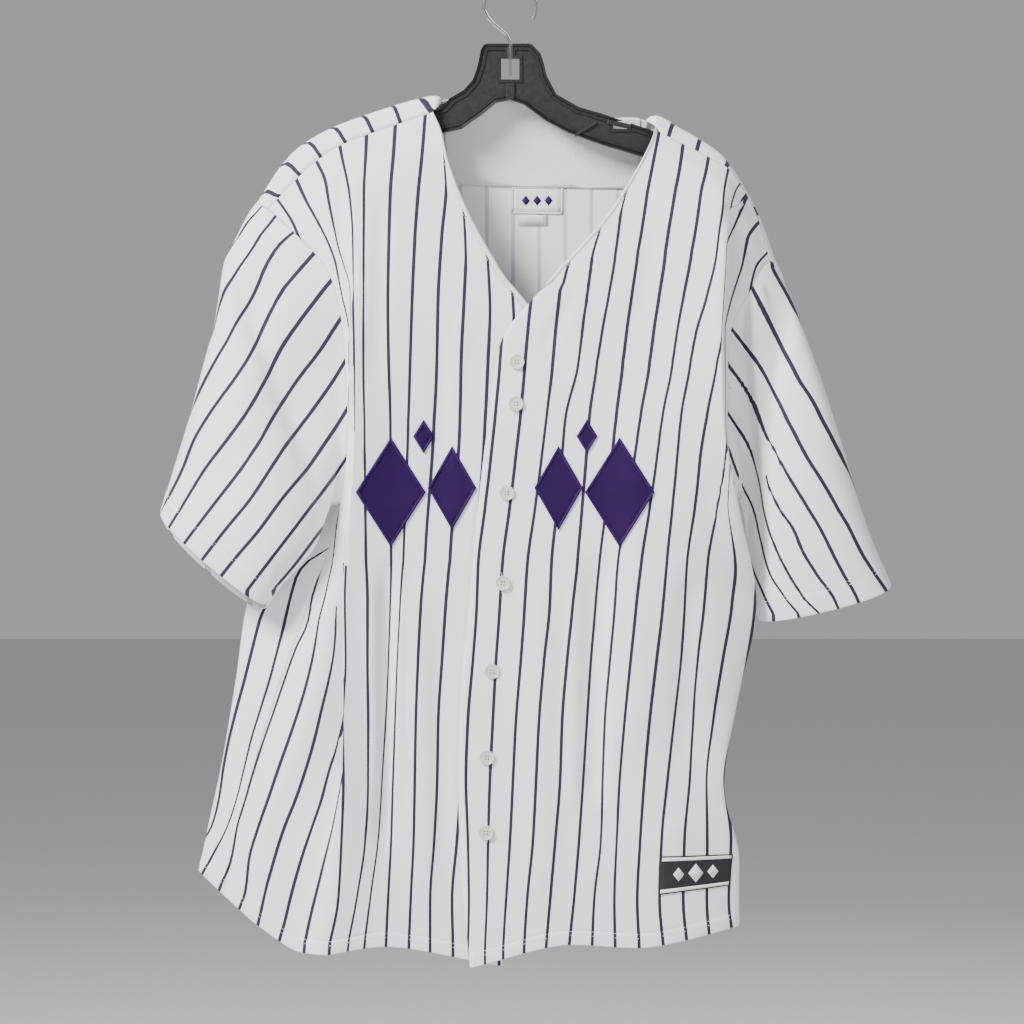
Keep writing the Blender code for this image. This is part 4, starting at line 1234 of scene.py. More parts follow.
@dataclass
class Garment:
    """The jersey's sewn panels: two fronts, the back and two sleeves."""

    finishes: Finishes
    right: Cloth = None
    left: Cloth = None
    back: Cloth = None
    sleeves: dict = field(default_factory=dict)
    bindings: dict = field(default_factory=dict)
    shown: dict = field(default_factory=dict)

    def draw_front(self, side: Side) -> Cloth:
        """Draw one front with its folds and stripe numbers.

        Args:
            side: Which front.

        Returns:
            The front's cloth.
        """
        is_right = side is Side.RIGHT
        near = RIGHT_NEAR_EDGE if is_right else LEFT_NEAR_EDGE
        far = RIGHT_NEAR_SIDE if is_right else LEFT_NEAR_SIDE
        table = tuple(a + b for a, b in zip(near, far))
        steps = RIGHT_STEPS if is_right else LEFT_STEPS
        grid = panel(table, steps)
        column = np.arange(grid.shape[1]) / FINE
        free = np.clip((11 - column) / 3.0, 0.0, 1.0)
        press(grid, RIGHT_FOLDS if is_right else LEFT_FOLDS, free)
        crease_free = free * np.clip(column / 1.0 + 0.3, 0.0, 1.0)
        stripes = stripe_numbers(grid, RIGHT_STRIPES if is_right else LEFT_STRIPES,
                                 -1 if is_right else 1)
        fold = sum(steps[:2] if is_right else steps[:3]) * FINE
        beyond_fold(grid, stripes, fold, RIGHT_RECESS if is_right else LEFT_RECESS,
                    -1 if is_right else 1)
        press(grid, RIGHT_CREASES if is_right else LEFT_CREASES, crease_free * CREASE_STRENGTH)
        cloth = Cloth(grid, -1 if is_right else 1)
        cloth.number(stripes)
        return cloth

    def draw_back(self) -> Cloth:
        """Draw the back, brought onto the edges of the fronts."""
        whole = [a + b for a, b in zip(BACK_RIGHT_HALF, BACK_LEFT_HALF)]
        grid = panel(whole, BACK_STEPS)
        right = self.right.points
        left = self.left.points
        top = grid[-1].copy()
        top[:right.shape[1]] = right[-1, ::-1]
        top[-left.shape[1]:] = left[-1]
        weld(grid, -1, top, 0, 3 * FINE)
        under = ARMPIT * FINE
        for index, edge in ((0, right), (-1, left)):
            line = grid[:, index].copy()
            line[:under + 1] = edge[:under + 1, -1]
            weld(grid, index, line, 1, 4 * FINE)
        near = np.clip(1.0 - np.abs(grid[..., 0] - DIP_MIDDLE) / DIP_HALF, 0.0, 1.0)
        tall = np.clip((grid[..., 2] - DIP_START) / DIP_RISE, 0.0, 1.0)
        grid[..., 2] -= DIP_DEPTH * near * near * (3.0 - 2.0 * near) * tall
        cloth = Cloth(grid, -1)
        cloth.number(self.back_stripes(grid))
        return cloth

    def back_stripes(self, grid: Points) -> Points:
        """Number the back's stripes: from the middle, the side seam and the shoulder.

        Args:
            grid: The back's points.

        Returns:
            The stripe numbers.
        """
        arc = level_arc(grid)
        middle = sum(BACK_STEPS[:5]) * FINE
        pixels = grid[..., 0] / PIXEL + PICTURE_MIDDLE
        start = (BACK_MIDDLE_COLUMN - pixels[:, middle:middle + 1]) * PIXEL
        stripes = (start - (arc - arc[:, middle:middle + 1])) / PITCH
        row = stops(ROW_STEPS)[:, None]
        side = stripe_numbers(grid, RIGHT_RECESS, -1) + 7.0
        low = ARMPIT * FINE
        whole = round(float(np.mean(stripes[:low, 0] + side[:low, 0])))
        turn = np.argmin(grid[:, :middle, 0], axis=1)
        pick = np.arange(len(grid))
        past = arc - arc[pick, turn][:, None]
        side = np.where(past > 0, side[pick, turn][:, None] + past / PITCH, side)
        behind = np.clip(past / 60.0, 0.0, 1.0)
        below = (1.0 - behind) * np.clip((5.0 - row) / 0.8, 0.0, 1.0)
        below = below + behind * np.clip((5.0 - row) / 2.6, 0.0, 1.0)
        seam = np.clip((150.0 - past) / 100.0, 0.0, 1.0) * below
        seam = seam * seam * (3.0 - 2.0 * seam)
        stripes = seam * (whole - side) + (1.0 - seam) * stripes

        def over(marks: tuple) -> Points:
            """Read the stripe numbers across the shoulder from their crossings."""
            places, numbers = np.array(sorted(marks), float).T
            read = np.interp(pixels, places, numbers)
            read -= np.maximum(pixels - places[-1], 0.0) / 27.0
            return read + np.maximum(places[0] - pixels, 0.0) * 0.045
        share = np.clip(row - 11.0, 0.0, 1.0)
        rise = np.clip((row - 8.5) / 2.5, 0.0, 1.0)
        for ridge, join, near in ((RIDGE_STRIPES, SEAM_STRIPES, (480.0 - pixels) / 60.0),
                                  (LEFT_RIDGE_STRIPES, LEFT_SEAM_STRIPES, (pixels - 590.0) / 50.0)):
            top = over(ridge) * (1.0 - share) + over(join) * share
            ease = rise * np.clip(near, 0.0, 1.0)
            stripes = top * ease + stripes * (1.0 - ease)
        return stripes

    def draw_sleeve(self, side: Side) -> Cloth:
        """Draw a sleeve from the armhole to the cuff.

        Args:
            side: Which sleeve.

        Returns:
            The sleeve's cloth, a closed tube.
        """
        is_right = side is Side.RIGHT
        front = (self.right if is_right else self.left).points
        rear = self.back.points[:, 0 if is_right else -1]
        rings = RIGHT_SLEEVE if is_right else LEFT_SLEEVE
        under = ARMPIT * FINE
        first = np.array(list(front[:under - 1:-1, -1]) + list(rear[under + 1:-1]))
        count = len(first)
        turn = np.arange(count) * 2.0 * math.pi / count
        high = np.clip(np.cos(turn), 0.0, 1.0) ** 2
        aside = (8.0 - 4.0 * high) * math.copysign(1.0, rings[0][0][0])
        loops = [first, first + np.stack((aside, 0.0 * high, -1.5 - 5.5 * high), axis=1)]
        out = np.sin(turn)
        full = np.abs(out) ** 0.75
        down = np.sign(np.cos(turn)) * np.abs(np.cos(turn)) ** 0.85
        for top, low, ahead, behind, ahead_drop, behind_drop in rings:
            top = np.array(top, float)
            low = np.array(low, float)
            loop = (top + low) / 2 + np.outer(down, (top - low) / 2)
            loop[:, 1] += np.where(out > 0, -ahead * full, behind * full)
            loop[:, 2] -= np.where(out > 0, ahead_drop * full, behind_drop * full)
            loops.append(loop)
        grid = flow(np.array(loops), stops(SLEEVE_STEPS))
        half = count // 2
        table = SLEEVE_STRIPES[side.value]
        names = SLEEVE_NUMBERS[side.value]
        toward = 1 if is_right else -1
        ahead = stripe_numbers(grid, table, toward, names)
        outer = np.array([rings[0][0], rings[-1][0]], float)[:, (0, 2)]
        way = (outer[1] - outer[0]) / np.linalg.norm(outer[1] - outer[0])
        flat = grid[..., (0, 2)] - outer[0]
        mirrored = 2.0 * (flat @ way)[..., None] * way - flat + outer[0]
        turned = np.stack((mirrored[..., 0], grid[..., 1], mirrored[..., 1]), axis=-1)
        behind = stripe_numbers(turned, table, toward, names)
        self.round_edge(grid, ahead, behind)
        free = np.clip(out * 2.2, 0.0, 1.0)
        if not is_right:
            self.tuck(grid, free)
        else:
            cap = np.clip(np.cos(turn), 0.0, 1.0) * np.ones(grid.shape[:2])
            cap = cap * np.sin(np.clip(column_arc(grid) / CAP_LENGTH, 0.0, 1.0) * math.pi)
            grid[..., 0] -= CAP_SWELL * cap
        press(grid, SLEEVE_CREASES[side.value], free)
        cloth = Cloth(grid, -1 if is_right else 1, closed=True)
        following = np.roll(np.arange(count), -1)
        face_front = np.arange(count) < half
        cloth.left = np.where(face_front, ahead, behind)
        cloth.right = np.where(face_front, ahead[:, following], behind[:, following])
        cloth.along = column_arc(grid) / PITCH
        return cloth

    @staticmethod
    def round_edge(grid: Points, ahead: Points, behind: Points) -> None:
        """Keep the stripes' pitch where a sleeve's outer edge turns out of the picture.

        Args:
            grid: The sleeve's loops, from the outer edge round by the front.
            ahead: The front's stripe numbers, changed in place near the edge.
            behind: The rear's stripe numbers, changed in place.
        """
        half = grid.shape[1] // 2
        step = np.linalg.norm(np.roll(grid, -1, axis=1) - grid, axis=-1)
        arc = np.cumsum(step, axis=1) - step
        back = arc[:, -1:] + step[:, -1:] - arc[:, half:]
        slip = []
        for i in range(len(grid)):
            near, far = np.interp((ROUND_REACH, ROUND_JUDGE), arc[i, :half], ahead[i, :half])
            slope = (far - near) / (ROUND_JUDGE - ROUND_REACH)
            slope = min(max(slope, 0.5 / PITCH), 1.0 / PITCH)
            slip.append(near - ROUND_REACH * slope - ahead[i, 0])
        window = np.hanning(len(slip) // 3 * 2 + 3)
        even = np.ones(len(slip))
        slip = np.convolve(slip, window, "same") / np.convolve(even, window, "same")
        edge = ahead[:, 0] + np.minimum(slip, 0.0)
        for i, low in enumerate(edge):
            near = np.interp(ROUND_REACH, arc[i, :half], ahead[i, :half])
            close = np.clip(arc[i, :half] / ROUND_REACH, 0.0, 1.0)
            ahead[i, :half] = np.where(close < 1.0, low + (near - low) * close, ahead[i, :half])
            rear = behind[i, half:] + 2.0 * min(slip[i], 0.0)
            meet = np.interp(ROUND_REACH, back[i, ::-1], rear[::-1])
            close = np.clip(back[i] / ROUND_REACH, 0.0, 1.0)
            behind[i, half:] = np.where(close < 1.0, low + (meet - low) * close, rear)
            behind[i, 0] = low

    @staticmethod
    def tuck(grid: Points, free: Points) -> None:
        """Set the cloth between the left sleeve's long fold and the body back."""
        places = np.array(TUCK, float)[::-1]
        ridge = np.interp(grid[..., 2], places[:, 1], places[:, 0])
        inside = np.clip((ridge - grid[..., 0]) / 8.0, 0.0, 1.0)
        start = np.clip(stops(SLEEVE_STEPS) / 1.2, 0.0, 1.0)[:, None]
        end = np.clip((grid[..., 2] + 585.0) / 60.0, 0.0, 1.0)
        shift = inside * inside * (3.0 - 2.0 * inside) * start * end * end * (3.0 - 2.0 * end)
        grid[..., 1] += TUCK_DEPTH * shift * free

    def split_binding(self, side: Side) -> None:
        """Part the rolled neck edge from a front.

        Args:
            side: Which front.
        """
        cloth = self.right if side is Side.RIGHT else self.left
        grid = cloth.points
        start = sum(ROW_STEPS[:7 if side is Side.RIGHT else 8]) * FINE
        edge = grid[start:, 0].copy()
        way = grid[start:, FINE] - edge
        size = np.linalg.norm(way, axis=-1, keepdims=True)
        width = np.minimum(BINDING, size * 0.6)
        inner = edge + way / size * width
        steps = np.linspace(0.0, 1.0, 7)[None, :, None]
        strip = edge[:, None] * (1 - steps) + inner[:, None] * steps
        roll = np.sin(steps[..., 0] * math.pi) * 1.3
        strip[..., 1] -= roll
        piece = Cloth(trimmed(strip, (Edge.TOP, Edge.LAST), SEAM_GAP / 2), cloth.outward)
        piece.number(np.full(piece.points.shape[:2], 0.5))
        self.bindings[side] = piece
        gap = inner + way / size * SEAM_GAP / 2
        share = np.linspace(1.0, 0.0, 2 * FINE)[None, :, None]
        grid[start:, :2 * FINE] += (gap - edge)[:, None] * share * (share > 0)

    def build(self) -> None:
        """Draw and lay every panel."""
        self.right = self.draw_front(Side.RIGHT)
        self.left = self.draw_front(Side.LEFT)
        self.back = self.draw_back()
        for side in Side:
            self.sleeves[side] = self.draw_sleeve(side)
        for side in Side:
            self.split_binding(side)
        half = SEAM_GAP / 2
        edges = (Edge.TOP, Edge.LAST)
        for cloth in (self.right, self.left):
            cloth.points = trimmed(cloth.points, edges, half)
        self.back.points = trimmed(self.back.points, (Edge.TOP, Edge.FIRST, Edge.LAST), half)
        for cloth in (self.right, self.left, self.back):
            cloth.turn_up(Edge.HEM, 13.0, 0.55)
        for cloth in self.sleeves.values():
            cloth.turn_up(Edge.TOP, 21.0, 0.5)
        rows = (("front_right", self.right, "hung"), ("front_left", self.left, "hung"),
                ("back", self.back, "hung"))
        for side, cloth in self.sleeves.items():
            cloth.points = trimmed(cloth.points, (Edge.HEM,), half)
            rows += (("sleeve_" + side.value, cloth, "hung"),)
        for name, cloth, held in rows:
            made = cloth_object(name + "_cloth", cloth, self.finishes.knit,
                                self.finishes.wrong_side)
            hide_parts(name)
            self.shown[name] = made
            LOG.info("%s: %d faces, %.3f m2", name, len(made.data.polygons), flat_area(made))
        for side, cloth in self.bindings.items():
            name = "neck_binding_" + side.value
            made = cloth_object(name + "_cloth", cloth, self.finishes.facing,
                                self.finishes.facing)
            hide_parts(name)
            self.shown[name] = made
            LOG.info("%s: %.4f m2", name, flat_area(made))


def flat_area(made: bpy.types.Object) -> float:
    """Area of an object's own faces, in square metres."""
    return sum(face.area for face in made.data.polygons)


@dataclass
class Sewing:
    """Runs of stitches, each a short bar of thread on the cloth."""

    finishes: Finishes
    length: float = 2.5
    gap: float = 1.0
    radius: float = 0.26
    verts: list = field(default_factory=list)
    faces: list = field(default_factory=list)

    def run(self, line: Points, faces: Points, lift: float = CLOTH / 2) -> None:
        """Sew one run.

        Args:
            line: The points of the run.
            faces: The outward directions along it.
            lift: How far the thread lies off the cloth's middle.
        """
        step = np.linalg.norm(np.diff(line, axis=0), axis=1)
        arc = np.concatenate(([0.0], np.cumsum(step)))
        at = 0.6
        while at + self.length < arc[-1]:
            ends = []
            for place in (at, at + self.length):
                point = [np.interp(place, arc, line[:, k]) for k in range(3)]
                ends.append(np.array(point))
            out = np.array([np.interp(at, arc, faces[:, k]) for k in range(3)])
            out = out / np.linalg.norm(out)
            run = ends[1] - ends[0]
            side = np.cross(out, run / max(np.linalg.norm(run), 1e-6)) * self.radius * 1.3
            self.bar(ends, out, side, lift)
            at += self.length + self.gap

    def bar(self, ends: list, out: Points, side: Points, lift: float) -> None:
        """Lay one stitch as a low closed bar, sunk at its ends."""
        base = len(self.verts)
        middle = (ends[0] + ends[1]) / 2
        for place, rise, wide in ((ends[0], -0.1, 0.6), (middle, 1.6, 1.0), (ends[1], -0.1, 0.6)):
            low = place + out * (lift - 0.15)
            high = place + out * (lift + self.radius * rise)
            self.verts += [tuple(p * MM) for p in (low - side * wide, low + side * wide, high)]
        for k in (0, 3):
            for a in range(3):
                b = (a + 1) % 3
                self.faces.append((base + k + a, base + k + b, base + k + 3 + b, base + k + 3 + a))
        self.faces.append((base + 2, base + 1, base))
        self.faces.append((base + 6, base + 7, base + 8))

    def finish(self, name: str, paint: bpy.types.Material) -> bpy.types.Object:
        """Make the piece of all the runs sewn so far and start afresh."""
        mesh = bpy.data.meshes.new(name)
        mesh.from_pydata(self.verts, [], self.faces)
        mesh.validate()
        made = link(name, mesh, paint)
        self.verts = []
        self.faces = []
        bm = bmesh.new()
        bm.from_mesh(mesh)
        bmesh.ops.recalc_face_normals(bm, faces=bm.faces[:])
        bm.to_mesh(mesh)
        bm.free()
        LOG.info("%s sewn", name)
        return made

    def build(self, garment: Garment) -> None:
        """Sew the hems, cuffs and neck edge."""
        for cloth in (garment.right, garment.left, garment.back):
            for distance in (12.6, 8.8):
                self.run(*cloth.inset(Edge.HEM, distance))
        self.finish("hem_stitches", self.finishes.thread)
        for cloth in garment.sleeves.values():
            line, faces = cloth.inset(Edge.TOP, 23.0)
            self.run(np.vstack((line, line[:1])), np.vstack((faces, faces[:1])))
            line, faces = cloth.inset(Edge.TOP, 19.5)
            self.run(np.vstack((line, line[:1])), np.vstack((faces, faces[:1])))
        self.finish("cuff_stitches", self.finishes.thread)
        for side, cloth in ((Side.RIGHT, garment.right), (Side.LEFT, garment.left)):
            line, faces = cloth.inset(Edge.FIRST, 1.6)
            neck = line[:, 2] > garment.bindings[side].points[..., 2].min()
            self.run(line[neck], faces[neck])
        self.finish("neck_stitches", self.finishes.thread)


@dataclass
class Trims:
    """Badges, labels, facing and the chest motifs, cut from the cloth they lie on."""

    finishes: Finishes
    border: float = 2.6

    def ring(self, corners: Points, width: float) -> tuple[list, Points]:
        """Split a convex outline into mitred border strips and the shape inside them.

        Args:
            corners: The outline (across, up).
            width: Width of the border.

        Returns:
            The strips and the inner outline.
        """
        outer = np.array(corners, float)
        middle = outer.mean(axis=0)
        count = len(outer)
        lines = []
        for k in range(count):
            way = outer[(k + 1) % count] - outer[k]
            side = np.array((-way[1], way[0])) / np.linalg.norm(way)
            if side @ (middle - outer[k]) < 0:
                side = -side
            lines.append((outer[k] + side * width, way))
        inner = []
        for k in range(count):
            (a, u), (b, v) = lines[k - 1], lines[k]
            share = np.linalg.solve(np.array((u, -v)).T, b - a)
            inner.append(a + u * share[0])
        inner = np.array(inner)
        strips = [(outer[k], outer[(k + 1) % count], inner[(k + 1) % count], inner[k])
                  for k in range(count)]
        return strips, inner

    def lay(self, name: str, cloth: Cloth, pieces: list, paints: list,
            thickness: float = 0.7, facing: int = 1) -> bpy.types.Object:
        """Lay one piece of trim on its panel.

        Args:
            name: The CAD node that it stands for.
            cloth: The cloth it lies on.
            pieces: Corners, lift and finish number of each part.
            paints: The finishes.
            thickness: The trim's own thickness.
            facing: 1 on the face side, -1 on the wrong side.

        Returns:
            The piece.
        """
        made = link(name + "_cloth", laid_mesh(name, cloth, pieces, facing), *paints)
        wall(made, thickness, 1.0)
        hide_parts(name)
        LOG.info("%s laid", name)
        return made

    def motifs(self, garment: Garment) -> None:
        """Sew the chest's twill diamonds with their satin edge and inner line."""
        sewing = Sewing(self.finishes, length=1.9, gap=0.9, radius=0.2)
        for index, (x, z, wide, high) in enumerate(MOTIFS):
            cloth = garment.right if x < 0 else garment.left
            cloth = Cloth(cloth.points[:, :11 * FINE], cloth.outward)
            corners = np.array(((x - wide, z), (x, z + high), (x + wide, z), (x, z - high)))
            strips, inner = self.ring(corners, self.border)
            base = CLOTH / 2 + LIFT
            pieces = [(corners, base, 0)] + [(strip, base + 0.55, 1) for strip in strips]
            self.lay("chest_motif_%d" % (index + 1), cloth, pieces,
                     [self.finishes.twill, self.finishes.satin], 0.8)
            _, deeper = self.ring(corners, self.border + 2.6)
            self.outline(sewing, cloth, deeper, base + 0.85)
        made = sewing.finish("motif_stitches", self.finishes.purple_thread)

    def outline(self, sewing: Sewing, cloth: Cloth, corners: Points, lift: float) -> None:
        """Run stitches round a closed outline on a cloth."""
        finder = tree_of(cloth.points)
        line = []
        faces = []
        for k in range(len(corners)):
            for share in np.linspace(0.0, 1.0, 14)[:-1]:
                spot = corners[k] * (1 - share) + corners[(k + 1) % len(corners)] * share
                hit, out = finder(spot)
                line.append(hit)
                faces.append(out)
        line.append(line[0])
        faces.append(faces[0])
        sewing.run(np.array(line), np.array(faces), lift)

    def build(self, garment: Garment) -> None:
        """Lay every trim."""
        self.motifs(garment)
        front = Cloth(garment.left.points[:, :11 * FINE + 1], garment.left.outward)
        base = CLOTH / 2 + LIFT
        patch = np.array(PATCH, float)
        pieces = [(patch, base, 0)]
        for low, high in ((0.04, 0.13), (0.87, 0.96)):
            pieces.append((self.band(patch, 0.02, 0.98, low, high), base + 0.45, 1))
        for k in range(3):
            centre = self.spot(patch, 0.26 + 0.24 * k, 0.5)
            tall = 9.0 if k == 1 else 6.5
            shape = [centre + np.array(way) * tall for way in ((-0.8, 0), (0, 1), (0.8, 0), (0, -1))]
            pieces.append((np.array(shape), base + 0.45, 1))
        self.lay("hem_patch", front, pieces, [self.finishes.badge, self.finishes.label],
                 0.6)
        first = sum(BACK_STEPS[:2]) * FINE
        last = garment.back.points.shape[1] - sum(BACK_STEPS[-2:]) * FINE
        rear = Cloth(garment.back.points[ARMPIT * FINE:, first:last], garment.back.outward)
        corners = np.array(((-68, -60), (128, -60), (124, -196), (-60, -192)), float)
        self.lay("back_neck_facing", rear, [(corners, base + 0.25, 0)], [self.finishes.facing],
                 0.9, -1)
        sewing = Sewing(self.finishes)
        line = np.array(((-56, -190.5), (120, -194.5)))
        finder = tree_of(rear.points)
        spots = [finder(line[0] * (1 - s) + line[1] * s) for s in np.linspace(0, 1, 40)]
        sewing.run(np.array([a for a, _ in spots]), np.array([b for _, b in spots]), base + 1.2)
        label = np.array(((1.6, -193), (51, -194), (51, -220), (1.6, -219)), float)
        pieces = [(label, base, 0)]
        strips, _ = self.ring(label, 1.6)
        pieces += [(strip, base + 0.35, 1) for strip in strips]
        centre = label.mean(axis=0)
        for across in (-11.0, 0.0, 11.0):
            shape = [centre + (across, 0) + np.array(way) * 5.0
                     for way in ((-0.8, 0), (0, 1), (0.8, 0), (0, -1))]
            pieces.append((np.array(shape), base + 0.35, 2))
        self.lay("neck_label", rear, pieces,
                 [self.finishes.label, self.finishes.thread, self.finishes.satin],
                 0.5, -1)
        tab = np.array(((8.6, -220.5), (36.5, -220.7), (36.5, -231), (8.6, -231)), float)
        self.lay("size_tab", rear, [(tab, base, 0)], [self.finishes.label],
                 0.5, -1)
        made = sewing.finish("facing_stitches", self.finishes.thread)

    @staticmethod
    def spot(corners: Points, across: float, down: float) -> Points:
        """A place on a four-cornered patch, from its top left corner."""
        top = corners[0] * (1 - across) + corners[1] * across
        low = corners[3] * (1 - across) + corners[2] * across
        return top * (1 - down) + low * down

    def band(self, corners: Points, left: float, right: float, top: float, low: float) -> Points:
        """The four corners of a band on a patch."""
        return np.array([self.spot(corners, a, b)
                         for a, b in ((left, top), (right, top), (right, low), (left, low))])


def tree_of(points: Points):
    """Prepare a surface for finding the point in front of a place (across, up).

    Args:
        points: The surface's grid.

    Returns:
        A function from a place to its point and its direction toward the viewer.
    """
    rows, cols = points.shape[:2]
    verts = [Vector(p) for p in points.reshape(-1, 3)]
    faces = [(i * cols + j, i * cols + j + 1, (i + 1) * cols + j + 1, (i + 1) * cols + j)
             for i in range(rows - 1) for j in range(cols - 1)]
    tree = BVHTree.FromPolygons(verts, faces)

    def find(spot: Points) -> tuple[Points, Points]:
        """Find the nearest point in front at a place."""
        start = Vector((float(spot[0]), -300.0, float(spot[1])))
        hit, out, _, _ = tree.ray_cast(start, Vector((0.0, 1.0, 0.0)))
        if hit is None:
            hit, out, _, _ = tree.find_nearest(Vector((float(spot[0]), 0.0, float(spot[1]))))
        if out.y > 0:
            out = -out
        return np.array(hit), np.array(out)
    return find


@dataclass
class Button:
    """A pearly button with a rim, a dished face and four holes, sewn with crossed thread."""

    finishes: Finishes
    size: float = 14.0
    depth: float = 2.2
    hole: float = 0.85

    def pattern(self) -> bpy.types.Mesh:
        """Model one button with the mesh tools and return its mesh."""
        bpy.ops.object.select_all(action="DESELECT")
        bpy.ops.mesh.primitive_cylinder_add(vertices=40, radius=self.size / 2 * MM,
                                            depth=self.depth * MM, end_fill_type="NGON",
                                            location=(0, 0, self.depth / 2 * MM))
        made = bpy.context.object
        bpy.ops.object.transform_apply(location=True)
        bpy.ops.object.mode_set(mode="EDIT")
        bpy.ops.mesh.select_mode(type="FACE")
        bpy.ops.mesh.select_all(action="DESELECT")
        bm = bmesh.from_edit_mesh(made.data)
        top = max(bm.faces, key=lambda face: face.calc_center_median().z)
        top.select_set(True)
        bmesh.update_edit_mesh(made.data)
        bpy.ops.mesh.inset(thickness=0.9 * MM, depth=0.0)
        bpy.ops.mesh.inset(thickness=0.6 * MM, depth=-0.55 * MM)
        bpy.ops.mesh.inset(thickness=1.6 * MM, depth=-0.15 * MM)
        bpy.ops.object.mode_set(mode="OBJECT")
        bevel = made.modifiers.new("round", "BEVEL")
        bevel.width = 0.35 * MM
        bevel.segments = 3
        bevel.limit_method = "ANGLE"
        bpy.ops.object.modifier_apply(modifier="round")
        for across, up in ((-1.25, -1.25), (-1.25, 1.25), (1.25, -1.25), (1.25, 1.25)):
            bpy.ops.mesh.primitive_cylinder_add(vertices=14, radius=self.hole * MM,
                                                depth=8 * MM, location=(across * MM, up * MM, 0))
            drill = bpy.context.object
            cut = made.modifiers.new("drill", "BOOLEAN")
            cut.object = drill
            cut.operation = "DIFFERENCE"
            cut.solver = "EXACT"
            bpy.context.view_layer.objects.active = made
            bpy.ops.object.modifier_apply(modifier="drill")
            bpy.data.objects.remove(drill, do_unlink=True)
        mesh = made.data.copy()
        bpy.data.objects.remove(made, do_unlink=True)
        return mesh

    def build(self, garment: Garment) -> None:
        """Place every button, its thread and its buttonhole on the left front."""
        pattern = self.pattern()
        finder = tree_of(garment.left.points)
        threads = Sewing(self.finishes, radius=0.3)
        holes = Sewing(self.finishes, length=1.7, gap=-1.15, radius=0.22)
        for index, spot in enumerate(BUTTONS):
            hit, out = finder(np.array(spot))
            base = hit + out * (CLOTH / 2 + 0.55)
            turn = Vector(out).to_track_quat("Z", "Y")
            mesh = pattern.copy()
            mesh.name = "button_%d_pearl" % (index + 1)
            for vert in mesh.vertices:
                vert.co = Vector(base) * MM + turn @ vert.co
            made = link(mesh.name, mesh, self.finishes.pearl)
            smooth(made)
            edges = made.modifiers.new("edges", "EDGE_SPLIT")
            edges.split_angle = math.radians(35)
            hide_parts("button_%d" % (index + 1))
            for a, b in (((-1.25, -1.25), (1.25, 1.25)), ((-1.25, 1.25), (1.25, -1.25))):
                ends = [np.array(Vector(base) + turn @ Vector((p[0], p[1], 0.0))) for p in (a, b)]
                run = ends[1] - ends[0]
                side = np.cross(out, run / np.linalg.norm(run)) * 0.35
                threads.bar(ends, out, side, self.depth - 0.75)
            self.buttonhole(holes, finder, spot)
        threads.finish("button_threads", self.finishes.thread)
        holes.finish("buttonhole_stitches", self.finishes.thread)
        LOG.info("buttons placed")

    def buttonhole(self, holes: Sewing, finder, spot: tuple) -> None:
        """Sew the two close rows of an upright buttonhole that show above and below a button."""
        for across in (-1.1, 1.1):
            line = []
            faces = []
            for rise in np.linspace(-10.5, 10.5, 12):
                hit, out = finder(np.array((spot[0] + across, spot[1] + rise)))
                line.append(hit)
                faces.append(out)
            holes.run(np.array(line), np.array(faces))


